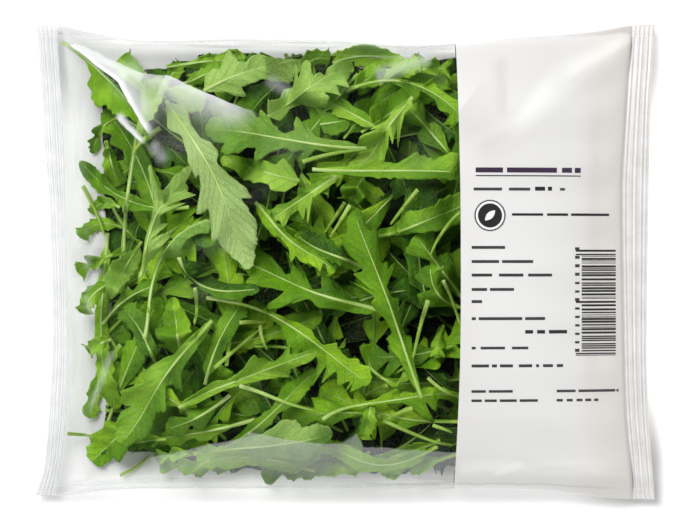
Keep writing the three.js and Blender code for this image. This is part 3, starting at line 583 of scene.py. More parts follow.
     "edge": [(-61, -53), (-56, -50), (-52.5, -47.5), (-47, -46.5), (-43.5, -44.5), (-40.5, -42.5),
              (-38.5, -38.5), (-36, -36), (-34, -38), (-28, -39.5), (-25, -37), (-22, -32), (-21.5, -36.5),
              (-16.5, -35.5), (-58.5, -56), (-52.5, -53), (-47, -50.5), (-40.5, -48.5), (-33.5, -47),
              (-26, -46), (-22.5, -46), (-20.5, -42), (-15, -40)]},
    {"lean": 0.9, "tone": 0.48, "grey": 0.45,
     "midrib": [(-53, -23), (-58.5, -29.5), (-63.5, -35), (-69, -41.5), (-74.5, -49.5), (-80.5, -59.5),
                (-90.5, -73)],
     "edge": [(-56.5, -25), (-62, -30), (-65, -33), (-68, -36.5), (-73, -38.5), (-78, -41.5), (-81, -43.5),
              (-81.5, -46.5), (-79, -47.5), (-83, -48.5), (-87.5, -50.5), (-90, -51.5), (-90.5, -56),
              (-88, -57.5), (-85.5, -57.5), (-90, -60), (-92, -63.5), (-92, -68.5), (-53.5, -26),
              (-57, -31.5), (-60.5, -36.5), (-63.5, -40.5), (-65.5, -44.5), (-64.5, -51.5), (-67, -51),
              (-69, -48.5), (-71.5, -49.5), (-71.5, -54.5), (-71, -60), (-73.5, -60.5), (-75.5, -60),
              (-76.5, -63), (-77.5, -67.5), (-80, -70.5), (-84.5, -72)]},
    {"lean": 1.1, "tone": 0.92, "grey": 0.9,
     "midrib": [(-82, -6), (-80, 3), (-78, 11), (-75.5, 18.5), (-71.5, 25), (-66.5, 31), (-61.5, 38.5)],
     "edge": [(-79.5, 11), (-77.5, 16.5), (-76.5, 21), (-76.5, 26), (-77.5, 30.5), (-79, 38), (-77.5, 39.5),
              (-76, 34), (-74, 29), (-72.5, 29), (-71, 31), (-69, 34), (-65, 37), (-77.5, 9), (-72.5, 11.5),
              (-68, 12.5), (-66, 14.5), (-70.5, 15.5), (-74, 16), (-73.5, 19), (-71, 22.5), (-67, 24.5),
              (-62.5, 24), (-59.5, 27), (-63, 29), (-63.5, 32.5), (-62, 35)]},
    {"lean": 0.2, "tone": 0.68, "grey": 0.9,
     "midrib": [(-80, -30.5), (-78, -15), (-76, -4), (-71.5, 5), (-65.5, 11.5), (-53.5, 16.5)],
     "edge": [(-73.5, 0.5), (-70.5, 2), (-65, 1.5), (-64.5, 6), (-63, 9), (-59.5, 11), (-54.5, 11.5),
              (-70.5, 6.5), (-65.5, 12.5), (-60.5, 16)]},
    {"lean": 0.4, "tone": 0.0, "grey": 0.0,
     "midrib": [(-66, 2), (-64, -3), (-59.5, -8.5), (-52.5, -10.5), (-44.5, -11.5), (-34, -10.5)],
     "edge": [(-60, -6), (-57, -3), (-55.5, 2), (-54, 2), (-52.5, -2), (-54, -5), (-50, -7.5),
              (-45.5, -8.5), (-39, -8.5), (-56.5, -12), (-50.5, -14.5), (-44.5, -15), (-38, -13.5)]},
    {"lean": 0.9, "tone": 0.98, "grey": 1.25,
     "midrib": [(-71.5, 64.5), (-65, 55.5), (-59, 46), (-53, 36.5), (-48.5, 26), (-44, 13), (-38, -2.5)],
     "edge": [(-71.5, 60.5), (-71, 54), (-65, 50), (-63, 43.5), (-62.5, 39.5), (-59.5, 33.5), (-58, 35),
              (-57.5, 31), (-59.5, 19.5), (-58.5, 18.5), (-54.5, 21), (-53.5, 15), (-53, 8.5), (-50.5, 8.5),
              (-45.5, 2.5), (-41, -1.5), (-66, 63), (-63, 60), (-61, 54.5), (-57.5, 49.5), (-53, 47.5),
              (-50.5, 44.5), (-50.5, 39), (-46.5, 35), (-42, 31.5), (-38, 28.5), (-36.5, 25.5), (-40, 24.5),
              (-37.5, 20), (-35, 16), (-34.5, 9), (-35.5, 2.5), (-36, -1.5)]},
]
looseStalks = [
    [(-106, 31), (-97, 11)], [(-112, -69), (-101, -70)], [(-91, -86), (-79, -78)], [(-74, 54), (-85, 43)],
    [(-17, 40), (8, 45)], [(29, 29), (18, 15)], [(0, 24), (-8, 12)], [(2, 23), (-6, 10)],
    [(39, -7), (46, -25)], [(33, -15), (27, -38)], [(46, 20), (34, 3)],
    [(15, -63), (24, -67), (34, -71), (44, -73)], [(27, -58), (16, -63)], [(33, -46), (46, -54)],
    [(35, -65), (43, -68)], [(-42, -49), (-36, -51), (-28, -54), (-12, -59)],
    [(-52, -42), (-44, -35), (-32, -25)], [(-34, -25), (-31, -35)], [(-42, -24), (-32, -24)],
    [(-60, -10), (-60, -25)], [(17, -49), (8, -53)]
]
# How a leaf of each habit is cut: shares of the length where the stalk ends and the end lobe begins, the
# bays' depth as a share of the half width, mm from lobe to lobe, and how far the lobes lean to the tip
leafHabits = {
    "deep": {"stalk": 0.12, "tip": 0.64, "bay": 0.22, "lobeEvery": 15, "lean": 0.85},
    "wavy": {"stalk": 0.08, "tip": 0.78, "bay": 0.68, "lobeEvery": 11, "lean": 0.60},
    "fingered": {"stalk": 0.20, "tip": 0.74, "bay": 0.16, "lobeEvery": 9, "lean": 0.9},
    "slim": {"stalk": 0.22, "tip": 0.60, "bay": 0.38, "lobeEvery": 16, "lean": 0.95},
    "plain": {"stalk": 0.02, "tip": 0.30, "bay": 1.0, "lobeEvery": 50, "lean": 0.0},
}
pile = {"thickness": 0.3, "gap": 0.6, "cell": 1.0, "low": (-119, -97), "high": (68, 97), "clearance": 1.0,
        "innerLeaves": 240, "middleLeaves": 118, "toothEvery": 3.7, "toothDepth": 0.85,
        "foldMargin": 5.5, "sealMargin": 15, "panelReach": 64, "relief": 1.2, "pucker": 0.3,
        "scatterLow": (-98, -80), "scatterHigh": (58, 82), "reach": (-112, 62),
        "cornerStart": -62, "cornerFade": 18, "topCorner": 6, "bottomCorner": 9}


def midribPath(points, t):   # eased along its points, with its direction
    p = np.array(points, float)
    if len(p) == 2:
        middle = p.mean(0) + np.array([-1, 1]) * (p[1] - p[0])[::-1] * rng.uniform(-0.08, 0.08)
        p = np.array([p[0], middle, p[1]])
    chord = np.concatenate([[0], np.cumsum(np.hypot(*np.diff(p, axis=0).T))])
    total = chord[-1]
    curve = [np.polyfit(chord / total, p[:, axis], min(len(p) - 1, 4)) for axis in (0, 1)]
    place = np.stack([np.polyval(c, t) for c in curve], -1)
    heading = np.stack([np.polyval(np.polyder(c), t) for c in curve], -1)
    return place, heading / np.linalg.norm(heading, axis=-1, keepdims=True), total


def leanedForward(lean, off, t):   # how far a point of the blade lies ahead of where it leaves the midrib
    return lean * np.abs(off) * smooth((0.98 - t) / 0.2)


def edgeKnots(midrib, edge, lean):   # (share of the length, mm from the midrib) of each side's lobes and bays
    t = np.linspace(0, 1, 241)
    place, heading, _ = midribPath(midrib, t)
    side = np.stack([-heading[:, 1], heading[:, 0]], -1)
    knots = [[], []]
    for point in np.array(edge, float):
        off = ((point - place) * side).sum(1)
        ahead = ((point - place) * heading).sum(1) - leanedForward(lean, off, t)
        best = np.argmin(np.abs(ahead) + 0.03 * np.abs(off))
        knots[int(off[best] > 0)].append((t[best], abs(off[best])))
    spaced = []
    for each in knots:
        each.sort()
        row = [(0, 0.7), (max(each[0][0] - 0.12, 0.01), 0.7)]
        for share, reach in each:   # no two knots in one place
            row.append((max(share, row[-1][0] + 0.006), reach))
        last = row[-1][0]
        spaced.append([(share * min(1, 0.99 / last), reach) for share, reach in row] + [(1, 0)])
    return spaced


def lobeKnots(width, length, habit):   # (share of the length, mm from the midrib), from bay to lobe to bay
    h = leafHabits[habit]
    half = width / 2
    knots = [(h["stalk"], 0.7)]
    count = max(1, round(length * (h["tip"] - h["stalk"]) / h["lobeEvery"]))
    pitch = (h["tip"] - h["stalk"]) / count
    for n in range(count):
        start = h["stalk"] + (n + rng.uniform(0.08, 0.3)) * pitch
        reach = half * (0.5 + 0.5 * (n + 1) / count) * rng.uniform(0.7, 1.1)
        bay = min(half * h["bay"] * rng.uniform(0.75, 1.25), reach)
        knots += [(start, bay), (start + 0.34 * pitch, reach), (start + 0.52 * pitch, reach * 0.93)]
    ending = 1 - h["tip"]
    knots += [(h["tip"], half * h["bay"]), (h["tip"] + ending * rng.uniform(0.18, 0.32), half),
              (h["tip"] + ending * 0.55, half * rng.uniform(0.75, 0.95)), (1, 0)]
    return knots


def halfWidth(t, knots, length):   # eased from knot to knot, rounded at the tip
    at, reach = np.array(knots).T
    k = np.clip(np.searchsorted(at, t, side="right") - 1, 0, len(at) - 2)
    part = np.clip((t - at[k]) / (at[k + 1] - at[k]), 0, 1)
    eased = np.where(k == len(at) - 2, 1 - np.sqrt(1 - part ** 2), smooth(part))
    blade = reach[k] + (reach[k + 1] - reach[k]) * eased
    far = smooth((blade / reach.max() - 0.45) * 4) * smooth((1 - t) * 12)
    run = t * length + reach.sum()   # teeth of uneven size and spacing, different on each side
    teeth = np.abs(np.sin(run / pile["toothEvery"] * math.pi + 1.2 * np.sin(run / 5.1)))
    blade = blade - pile["toothDepth"] * far * teeth * (0.55 + 0.45 * np.sin(run / 3.7))
    return np.maximum(blade, 0.25)


def growLeaf(grid, midrib, knots, lean, flatness=1.0):
    t, across = grid[:, 0], grid[:, 1] * 2 - 1
    place, heading, length = midribPath(midrib, t)
    sides = [halfWidth(t, each, length) for each in knots]
    offset = across * np.where(across < 0, sides[0], sides[1])
    width = 2 * max(reach for each in knots for _, reach in each)
    spread = np.abs(offset) / (width / 2)
    side = np.stack([-heading[:, 1], heading[:, 0]], -1)
    plan = place + side * offset[:, None] + heading * leanedForward(lean, offset, t)[:, None]
    run = t * length
    cup = rng.uniform(-0.14, 0.20) * width * flatness
    wave = rng.uniform(0.07, 0.14) * width * flatness
    phase = rng.uniform(0, 6, 2)
    rise = cup * spread ** 1.6
    shift = np.where(across < 0, phase[0], phase[1])
    rise += wave * spread ** 1.4 * np.sin(run / rng.uniform(2.4, 3.6) + shift)
    rise += offset * rng.uniform(-0.25, 0.25) * (t - 0.4) * flatness
    veinTurn = (run - 0.9 * np.abs(offset)) * math.pi / 5   # half a turn from one side vein to the next
    pucker = -pile["pucker"] * smooth(np.abs(offset) / 3) * np.abs(np.cos(veinTurn))
    return {"plan": plan, "rise": rise, "pucker": pucker, "t": t, "across": across, "run": run,
            "offset": offset, "length": length, "heading": heading}


def growByHabit(grid, midrib, width, habit, flatness=1.0):
    length = math.dist(midrib[0], midrib[-1])
    knots = [lobeKnots(width, length, habit) for _ in (0, 1)]
    return growLeaf(grid, midrib, knots, leafHabits[habit]["lean"], flatness)


def softened(values, width):   # running mean along a leaf, weighted like a bell
    reach = max(1, int(3 * width))
    kernel = np.exp(-0.5 * (np.arange(-reach, reach + 1) / width) ** 2)
    padded = np.pad(values, reach, mode="edge")
    return np.convolve(padded, kernel / kernel.sum(), mode="valid")


class Heap:
    # Height of the pile over the table, on a grid of cells, as leaf after leaf is laid on it
    def __init__(self):
        self.low = np.array(pile["low"], float)
        size = ((np.array(pile["high"]) - self.low) / pile["cell"]).astype(int) + 1
        self.height = np.zeros(size)

    def cells(self, plan):
        at = np.round((plan - self.low) / pile["cell"]).astype(int)
        limit = np.array(self.height.shape) - 2
        return np.clip(at[:, 0], 1, limit[0]), np.clip(at[:, 1], 1, limit[1])

    def lay(self, leaf, columns, stiffness):
        i, j = self.cells(leaf["plan"])
        station = np.round(leaf["t"] * columns).astype(int)
        support = np.full(columns + 1, -1e9)
        np.maximum.at(support, station, self.height[i, j] - leaf["rise"])
        carried = softened(support, stiffness)
        carried += np.max(support - carried) * 0.4
        order = np.lexsort((leaf["across"], leaf["t"]))
        free = (self.height[i, j] + pile["gap"] * 0.5)[order].reshape(columns + 1, -1)
        z = (carried[station] + leaf["rise"])[order].reshape(columns + 1, -1)
        for _ in range(4):   # what lies below pushes up, and the blade stays smooth over it
            z = np.maximum(z, free)
            padded = np.pad(z, 1, mode="edge")
            z = (padded[:-2, 1:-1] + padded[2:, 1:-1] + padded[1:-1, :-2] + padded[1:-1, 2:] + 2 * z) / 6
        leaf["z"] = np.empty(len(order))
        leaf["z"][order] = z.ravel() + pile["gap"] * 0.7
        for di in (-1, 0, 1):
            for dj in (-1, 0, 1):
                np.maximum.at(self.height, (i + di, j + dj), leaf["z"] + pile["thickness"])

    def envelope(self):   # the pile's upper skin, which the window rests on
        top = self.height.copy()
        for axis in (0, 1):
            top = np.max([np.roll(top, k, axis) for k in range(-4, 5)], axis=0)
        for axis in (0, 1):
            top = np.mean([np.roll(top, k, axis) for k in range(-6, 7)], axis=0)
        self.top = top

    def settle(self, plan, z):   # fits the pile between the back film and the window
        at = (plan - self.low) / pile["cell"]
        at = np.clip(at, 0, np.array(self.top.shape) - 1.001)
        cell = at.astype(int)
        fx, fy = (at - cell).T
        i, j = cell.T
        skin = ((self.top[i, j] * (1 - fx) + self.top[i + 1, j] * fx) * (1 - fy)
                + (self.top[i, j + 1] * (1 - fx) + self.top[i + 1, j + 1] * fx) * fy)
        top = filmTop(plan[:, 0], plan[:, 1]) - pile["clearance"]
        room = np.maximum(top - filmUnderside(plan[:, 0], plan[:, 1]) - pile["clearance"] * 0.6, 0.3)
        share = np.clip((skin - z) / np.maximum(skin, 1), 0, 1)
        return top - room * (1 - (1 - share) ** (skin * pile["relief"] / room))


def keepInside(plan):   # moves a leaf off the folds and the seals, twice, as one move can undo another
    fold = pile["foldMargin"]
    for _ in (0, 1):
        x = np.clip(plan[:, 0], *pile["reach"])
        # the pile is thinner in both corners by the clear end
        corner = smooth((pile["cornerStart"] - x) / pile["cornerFade"])
        above = np.max(plan[:, 1] - along("topFold", x) + fold + pile["topCorner"] * corner)
        below = np.max(along("bottomFold", x) + fold + pile["bottomCorner"] * corner - plan[:, 1])
        leftOf = np.max(along("leftInner", plan[:, 1]) + pile["sealMargin"] - plan[:, 0])
        rightOf = np.max(plan[:, 0] - pile["panelReach"])
        plan = plan + np.array([max(leftOf, 0) - max(rightOf, 0), max(below, 0) - max(above, 0)])
    return plan


heap = Heap()
leafColumns = {"large": 120, "small": 70, "middle": 44, "inner": 28}
largeTemplate, largeGrid = makeTemplate(leafColumns["large"], 12)
smallTemplate, smallGrid = makeTemplate(leafColumns["small"], 10)
middleTemplate, middleGrid = makeTemplate(leafColumns["middle"], 8)
innerTemplate, innerGrid = makeTemplate(leafColumns["inner"], 6)


def scattered(count, low, high):   # places spread evenly without being in rows
    step = np.arange(1, count + 1)[:, None] * np.array([0.7549, 0.5698])
    return np.array(low) + (step + rng.uniform(0, 0.03, (count, 2))) % 1 * (np.array(high) - np.array(low))


def scatterLeaves(count, grid, columns, lengths, widths, tones, habits):
    leaves = []
    for centre in scattered(count, pile["scatterLow"], pile["scatterHigh"]):
        turn = rng.uniform(0, 2 * math.pi)
        reach = np.array([math.cos(turn), math.sin(turn)]) * rng.uniform(*lengths) / 2
        habit = str(rng.choice(habits))
        leaf = growByHabit(grid, [centre - reach, centre + reach], rng.uniform(*widths), habit, 1.7)
        leaf["plan"] = keepInside(leaf["plan"])
        heap.lay(leaf, columns, 5)
        leaf.update(tone=rng.uniform(*tones), grey=rng.uniform(0, 0.4))
        leaves.append(leaf)
    return leaves


# painted shade: the inner leaves take dark tones, standing for the shade deep in the pile
inner = scatterLeaves(pile["innerLeaves"], innerGrid, leafColumns["inner"], (42, 78), (20, 32),
                      (-0.8, -0.05), ["wavy", "plain", "fingered"])
middle = scatterLeaves(pile["middleLeaves"], middleGrid, leafColumns["middle"], (30, 62), (10, 21),
                       (-0.25, 0.75), ["fingered", "fingered", "slim", "wavy"])
print("inner pile", round(float(heap.height.max()), 1), "mm high, mean", round(float(heap.height.mean()), 1))
small, large, stalks = [], [], []
for points, width, habit, tone in topLeaves:
    leaf = growByHabit(smallGrid, points, width, habit)
    heap.lay(leaf, leafColumns["small"], 7)
    leaf.update(tone=tone, grey=0.35)
    small.append(leaf)
for outlined in outlinedLeaves:
    knots = edgeKnots(outlined["midrib"], outlined["edge"], outlined["lean"])
    leaf = growLeaf(largeGrid, outlined["midrib"], knots, outlined["lean"])
    heap.lay(leaf, leafColumns["large"], 9)
    leaf.update(tone=outlined["tone"], grey=outlined["grey"])
    large.append(leaf)
for points in looseStalks:
    leaf = growByHabit(middleGrid, points, 1.6, "plain", 0.3)
    heap.lay(leaf, leafColumns["middle"], 8)
    leaf.update(stalkEnd=1.0, taper=0.35, stalk=rng.uniform(0.75, 1.0))
    stalks.append(leaf)
for leaf in large + small:
    radius = 0.42 + 0.018 * min(leaf["length"], 30) * rng.uniform(0.7, 1.0)
    leaf.update(stalkEnd=0.95, taper=1.3, stalk=radius)
for leaf in inner + middle:
    leaf.update(stalkEnd=0.9, taper=1.4, stalk=rng.uniform(0.4, 0.85))
heap.envelope()
print("pile", round(float(heap.height.max()), 1), "mm high")


def leafPiece(name, template, leaves):
    copies, maps = [], []
    tones = {"tone": [], "grey": []}
    for leaf in leaves:
        z = heap.settle(leaf["plan"], leaf["z"]) + leaf["pucker"]
        copies.append(np.column_stack([leaf["plan"], z]))
        maps.append(np.stack([leaf["run"], leaf["offset"]], 1))
        half = np.sign(leaf["across"]) * smooth(np.abs(leaf["across"]) * 5)   # painted shade: one half of the blade is lighter and the other darker, as if one faced the light
        tones["tone"].append(leaf["tone"] + 0.17 * math.sin(leaf["length"] * 7.3) * half)
        tones["grey"].append(np.full(len(z), leaf["grey"]))
    return joinCopies(name, template, copies, maps=maps, tones=tones)


largePiece = leafPiece("large_leaves", largeTemplate, large)
smallPiece = leafPiece("small_leaves", smallTemplate, small)
middlePiece = leafPiece("middle_leaves", middleTemplate, middle)
innerPiece = leafPiece("inner_leaves", innerTemplate, inner)


# Stalks and midribs, round and tapered, on the leaves and loose
def stalkPiece(name, leaves, columns, sides, paleness):
    template, tube = makeTemplate(columns + 2, sides)
    copies, maps, tones = [], [], {"paleness": [], "crest": []}
    for leaf in leaves:
        step = np.clip(np.round(tube[:, 0] * (columns + 2)) - 1, 0, columns) / columns
        closed = np.abs(np.round(tube[:, 0] * (columns + 2)) - (columns + 2) / 2) >= (columns + 2) / 2
        turn = tube[:, 1] * 2 * math.pi
        onMidrib = np.abs(leaf["across"]) < 1e-6
        order = np.argsort(leaf["t"][onMidrib])
        t = leaf["t"][onMidrib][order]
        plan = leaf["plan"][onMidrib][order]
        z = heap.settle(plan, leaf["z"][onMidrib][order])
        at = step * leaf["stalkEnd"]
        x, y, high = (np.interp(at, t, values) for values in (plan[:, 0], plan[:, 1], z))
        heading = leaf["heading"][onMidrib][order]
        hx, hy = np.interp(at, t, heading[:, 0]), np.interp(at, t, heading[:, 1])
        norm = np.maximum(np.hypot(hx, hy), 1e-6)
        radius = leaf["stalk"] * ((1 - at) ** leaf["taper"] * 0.78 + 0.22) * np.where(closed, 0, 1)
        side = np.cos(turn) * radius
        copies.append(np.column_stack([x - hy / norm * side, y + hx / norm * side,
                                       high + pile["thickness"] * 0.2 + np.sin(turn) * radius * 0.75]))
        maps.append(np.stack([at * leaf["length"], side], 1))
        tones["paleness"].append(rng.uniform(*paleness) * (1 - 0.35 * at))
        # the crest is the upper side of the midrib, where it takes a painted highlight
        tones["crest"].append(np.sin(turn) * smooth(at * 3) * (leaf["stalkEnd"] < 1))
    piece = joinCopies(name, template, copies, merge=1e-6, maps=maps, tones=tones)
    faceOutwards(piece)
    return piece


shownStalks = stalkPiece("top_midribs", large + small, 44, 8, (0.75, 1.0))
middleStalks = stalkPiece("middle_midribs", middle, 30, 7, (0.3, 0.8))
innerStalks = stalkPiece("inner_midribs", inner, 14, 5, (0.0, 0.25))
looseStalkPiece = stalkPiece("loose_stalks", stalks, 20, 10, (0.65, 1.0))

print("materials")


def linear(hexColour):   # sRGB hex to the linear colour that Blender mixes
    channels = [int(hexColour[k:k + 2], 16) / 255 for k in (1, 3, 5)]
    return [c / 12.92 if c <= 0.04045 else ((c + 0.055) / 1.055) ** 2.4 for c in channels] + [1.0]


def fillRamp(elements, stops):
    while len(elements) < len(stops):
        elements.new(0.5)
    for element, (place, colour) in zip(elements, stops):
        element.position = place
        element.color = linear(colour) if isinstance(colour, str) else (colour,) * 3 + (1,)


def addNode(tree, kind, settings=None, links=(), out=0):   # one node, set and linked, and one of its outputs
    node = tree.nodes.new("ShaderNode" + kind)
    for key, value in (settings or {}).items():
        if key == "stops":
            fillRamp(node.color_ramp.elements, value)
        else:
            setattr(node, key, value)
    for key, value in links.items() if isinstance(links, dict) else enumerate(links):
        if isinstance(value, bpy.types.NodeSocket):
            tree.links.new(value, node.inputs[key])
        else:
            node.inputs[key].default_value = value
    return node.outputs[out] if node.outputs else None


# What the arithmetic nodes do, and the curve that eases from 0 to 1 between two values
times, plus, minus, over, timesPlus, larger, smaller, toPower, unsigned, sine, fraction = (
    {"operation": name} for name in ("MULTIPLY", "ADD", "SUBTRACT", "DIVIDE", "MULTIPLY_ADD", "MAXIMUM",
                                     "MINIMUM", "POWER", "ABSOLUTE", "SINE", "FRACT"))
timesClamped = {"operation": "MULTIPLY", "use_clamp": True}
minusClamped = {"operation": "SUBTRACT", "use_clamp": True}
easing = {"interpolation_type": "SMOOTHSTEP"}
colourMix = {"data_type": "RGBA"}   # its inputs are 0 the share, 6 and 7 the colours, and its output is 2


def newMaterial(name):
    material = bpy.data.materials.new(name)
    material.use_nodes = True
    material.node_tree.nodes.clear()
    return material, partial(addNode, material.node_tree)


leafVeins = {"spacing": 5.0, "slant": 0.9, "narrowness": 14.0, "wander": 5.0, "netScale": 520.0,
             "netNarrowness": 9.0}   # lengths in mm; the net is the finest veins, in cells a metre


def leafMaterial(name, fresh, dull, gloss, veinPaleness):
    material, add = newMaterial(name)
    uv = add("UVMap", {"uv_map": "surfaceMap"})
    tone = add("Attribute", {"attribute_name": "tone"}, out="Fac")
    grey = add("Attribute", {"attribute_name": "grey"}, out="Fac")
    part = add("SeparateXYZ", links=[uv]).node.outputs
    run = add("Math", times, [part[0], 100.0])   # mm along the leaf
    offset = add("Math", unsigned, [add("Math", times, [part[1], 100.0])])   # mm from the midrib
    place = add("TexCoord", out="Object")
    cloud = add("TexNoise", links={"Vector": place, "Scale": 110.0, "Detail": 3.0}, out="Fac")
    grain = add("TexNoise", links={"Vector": place, "Scale": 900.0, "Detail": 2.0}, out="Fac")
    # side veins leave the midrib every 5 mm at about 45 degrees and bend forward
    bend = add("Math", timesPlus, [add("Math", minus, [cloud, 0.5]), leafVeins["wander"], run])
    slanted = add("Math", timesPlus, [offset, -leafVeins["slant"], bend])
    stripe = add("Math", fraction, [add("Math", over, [slanted, leafVeins["spacing"]])])
    fromStripe = add("Math", unsigned, [add("Math", minus, [stripe, 0.5])])
    side = add("Math", minusClamped, [1.0, add("Math", times, [fromStripe, leafVeins["narrowness"]])])
    cells = {"Vector": place, "Scale": leafVeins["netScale"]}
    net = add("TexVoronoi", {"feature": "DISTANCE_TO_EDGE"}, cells)
    fromNet = add("Math", times, [net, leafVeins["netNarrowness"]])
    mesh = add("Math", minusClamped, [1.0, fromNet])
    vein = add("Math", larger, [side, add("Math", times, [mesh, 0.5])])
    shade = add("Math", timesPlus, [tone, 0.85, 0.22])
    patch = add("TexNoise", links={"Vector": place, "Scale": 42.0, "Detail": 1.0}, out="Fac")
    # the green is uneven from patch to patch, within a patch and from cell to cell
    for noise, level, strength in ((cloud, 0.5, 0.6), (grain, 0.5, 0.25), (patch, 0.48, 0.6)):
        away = add("Math", minus, [noise, level])
        shade = add("Math", plus, [shade, add("Math", times, [away, strength])])
    dullness = add("Math", minusClamped, [grey, 0.25])
    green = add("ValToRGB", {"stops": fresh}, [shade])
    greyGreen = add("ValToRGB", {"stops": dull}, [shade])
    body = add("Mix", colourMix, {0: dullness, 6: green, 7: greyGreen}, out=2)
    veined = add("Math", times, [vein, veinPaleness])
    pale = add("Mix", colourMix, {0: veined, 6: body, 7: linear("#b3d080")}, out=2)
    height = add("Math", timesPlus, [vein, -0.6, add("Math", times, [grain, 0.5])])
    bump = add("Bump", links={"Height": height, "Strength": 0.8, "Distance": 0.0007})
    skin = add("BsdfPrincipled", links={
        "Base Color": pale, "Roughness": gloss, "Normal": bump, "Specular IOR Level": 0.2})
    glow = add("Gamma", links={"Color": pale, "Gamma": 0.8})
    through = add("BsdfTranslucent", links={"Color": glow})
    both = add("MixShader", links=[0.22, skin, through])
    add("OutputMaterial", links=[both])
    return material


# Upper face of a rocket leaf: waxy cuticle over dark green, so it is satin, with pale side veins
# its darkest stops give the painted shade of the inner leaves deep in the pile
leafUpper = leafMaterial("rocket leaf, waxy upper face",
                         [(0.0, "#0a2000"), (0.25, "#3a6f03"), (0.62, "#73ac08"), (1.0, "#abe02a")],
                         [(0.0, "#112a08"), (0.25, "#457228"), (0.62, "#7ba94e"), (1.0, "#b9d984")],
                         gloss=0.45, veinPaleness=0.3)
# Underside: no wax sheen and air below the skin, so it is paler and duller, with raised veins
leafUnder = leafMaterial("rocket leaf, dull underside",
                         [(0.0, "#3f6a14"), (0.5, "#76a92c"), (1.0, "#a9d05c")],
                         [(0.0, "#4c7130"), (0.5, "#80ac4e"), (1.0, "#b4d486")], gloss=0.6, veinPaleness=0.5)


def stalkMaterial():   # crisp wet stalk: pale green, and nearly white along the crest of the midrib, partly its own colour and partly a painted highlight on its upper side
    material, add = newMaterial("rocket stalk, moist and fibrous")
    place = add("UVMap", {"uv_map": "surfaceMap"})
    stretched = add("Mapping", links={"Vector": place, "Scale": (6.0, 220.0, 1.0)})
    fibre = add("TexNoise", links={"Vector": stretched, "Scale": 1.0, "Detail": 2.0}, out="Fac")
    at = add("Attribute", {"attribute_name": "paleness"}, out="Fac")
    shade = add("Math", timesPlus, [add("Math", minus, [fibre, 0.5]), 0.4, at])
    crest = add("Attribute", {"attribute_name": "crest"}, out="Fac")
    greens = [(0.0, "#355c0c"), (0.4, "#769d2c"), (0.8, "#a0c352"), (1.0, "#bcd583")]
    body = add("ValToRGB", {"stops": greens}, [shade])
    paleCrestAndHighlight = add("Math", timesClamped, [
        add("MapRange", easing, [crest, 0.6, 0.95]), add("Math", toPower, [at, 1.6])])
    colour = add("Mix", colourMix, {0: paleCrestAndHighlight, 6: body, 7: linear("#d0e69c")}, out=2)
    bump = add("Bump", links={"Height": fibre, "Strength": 0.3, "Distance": 0.0003})
    skin = add("BsdfPrincipled", links={
        "Base Color": colour, "Roughness": 0.35, "Normal": bump, "Specular IOR Level": 0.4})
    add("OutputMaterial", links=[skin])
    return material


stalkSkin = stalkMaterial()


def veil(add, x, y, shape):   # share of one patch, from one entry of filmMilkAndReflections (milky film and painted reflection) or paintedPanelShading (painted shade and highlights)
    shape = {**plainVeil, **shape}
    (x0, y0), (x1, y1) = shape["axis"]
    length = math.dist((x0, y0), (x1, y1))
    dx, dy = (x1 - x0) / length, (y1 - y0) / length
    run = add("Math", timesPlus, [x, dx, add("Math", timesPlus, [y, dy, -x0 * dx - y0 * dy])])
    off = add("Math", timesPlus, [y, dx, add("Math", timesPlus, [x, -dy, x0 * dy - y0 * dx])])
    strength = add("Math", times, [
        add("MapRange", easing, [run, 0, shape["ends"][0]]),
        add("MapRange", easing, [add("Math", minus, [length, run]), 0, shape["ends"][1]])])
    sides = ((shape["left"], -1.0, shape["soft"][0]), (shape["right"], 1.0, shape["soft"][1]))
    for (start, end), sign, soft in sides:
        reach = add("Math", timesPlus, [run, (end - start) / length, start])
        inside = add("Math", over, [add("Math", timesPlus, [off, sign, reach]), reach])
        strength = add("Math", times, [strength, add("MapRange", easing, [inside, 0, soft])])
    return add("Math", times, [strength, shape["strength"]])


filmLook = {"crinkleScale": 90.0, "crinkle": 0.07, "mirror": 0.6, "mirrorFaceOn": 0.006, "roughness": 0.16,
            "creaseMilkAndSheen": 0.32, "foldMilkAndSheen": 0.4}   # milk is how white a crease or fold turns, partly its own whitening and partly painted highlight
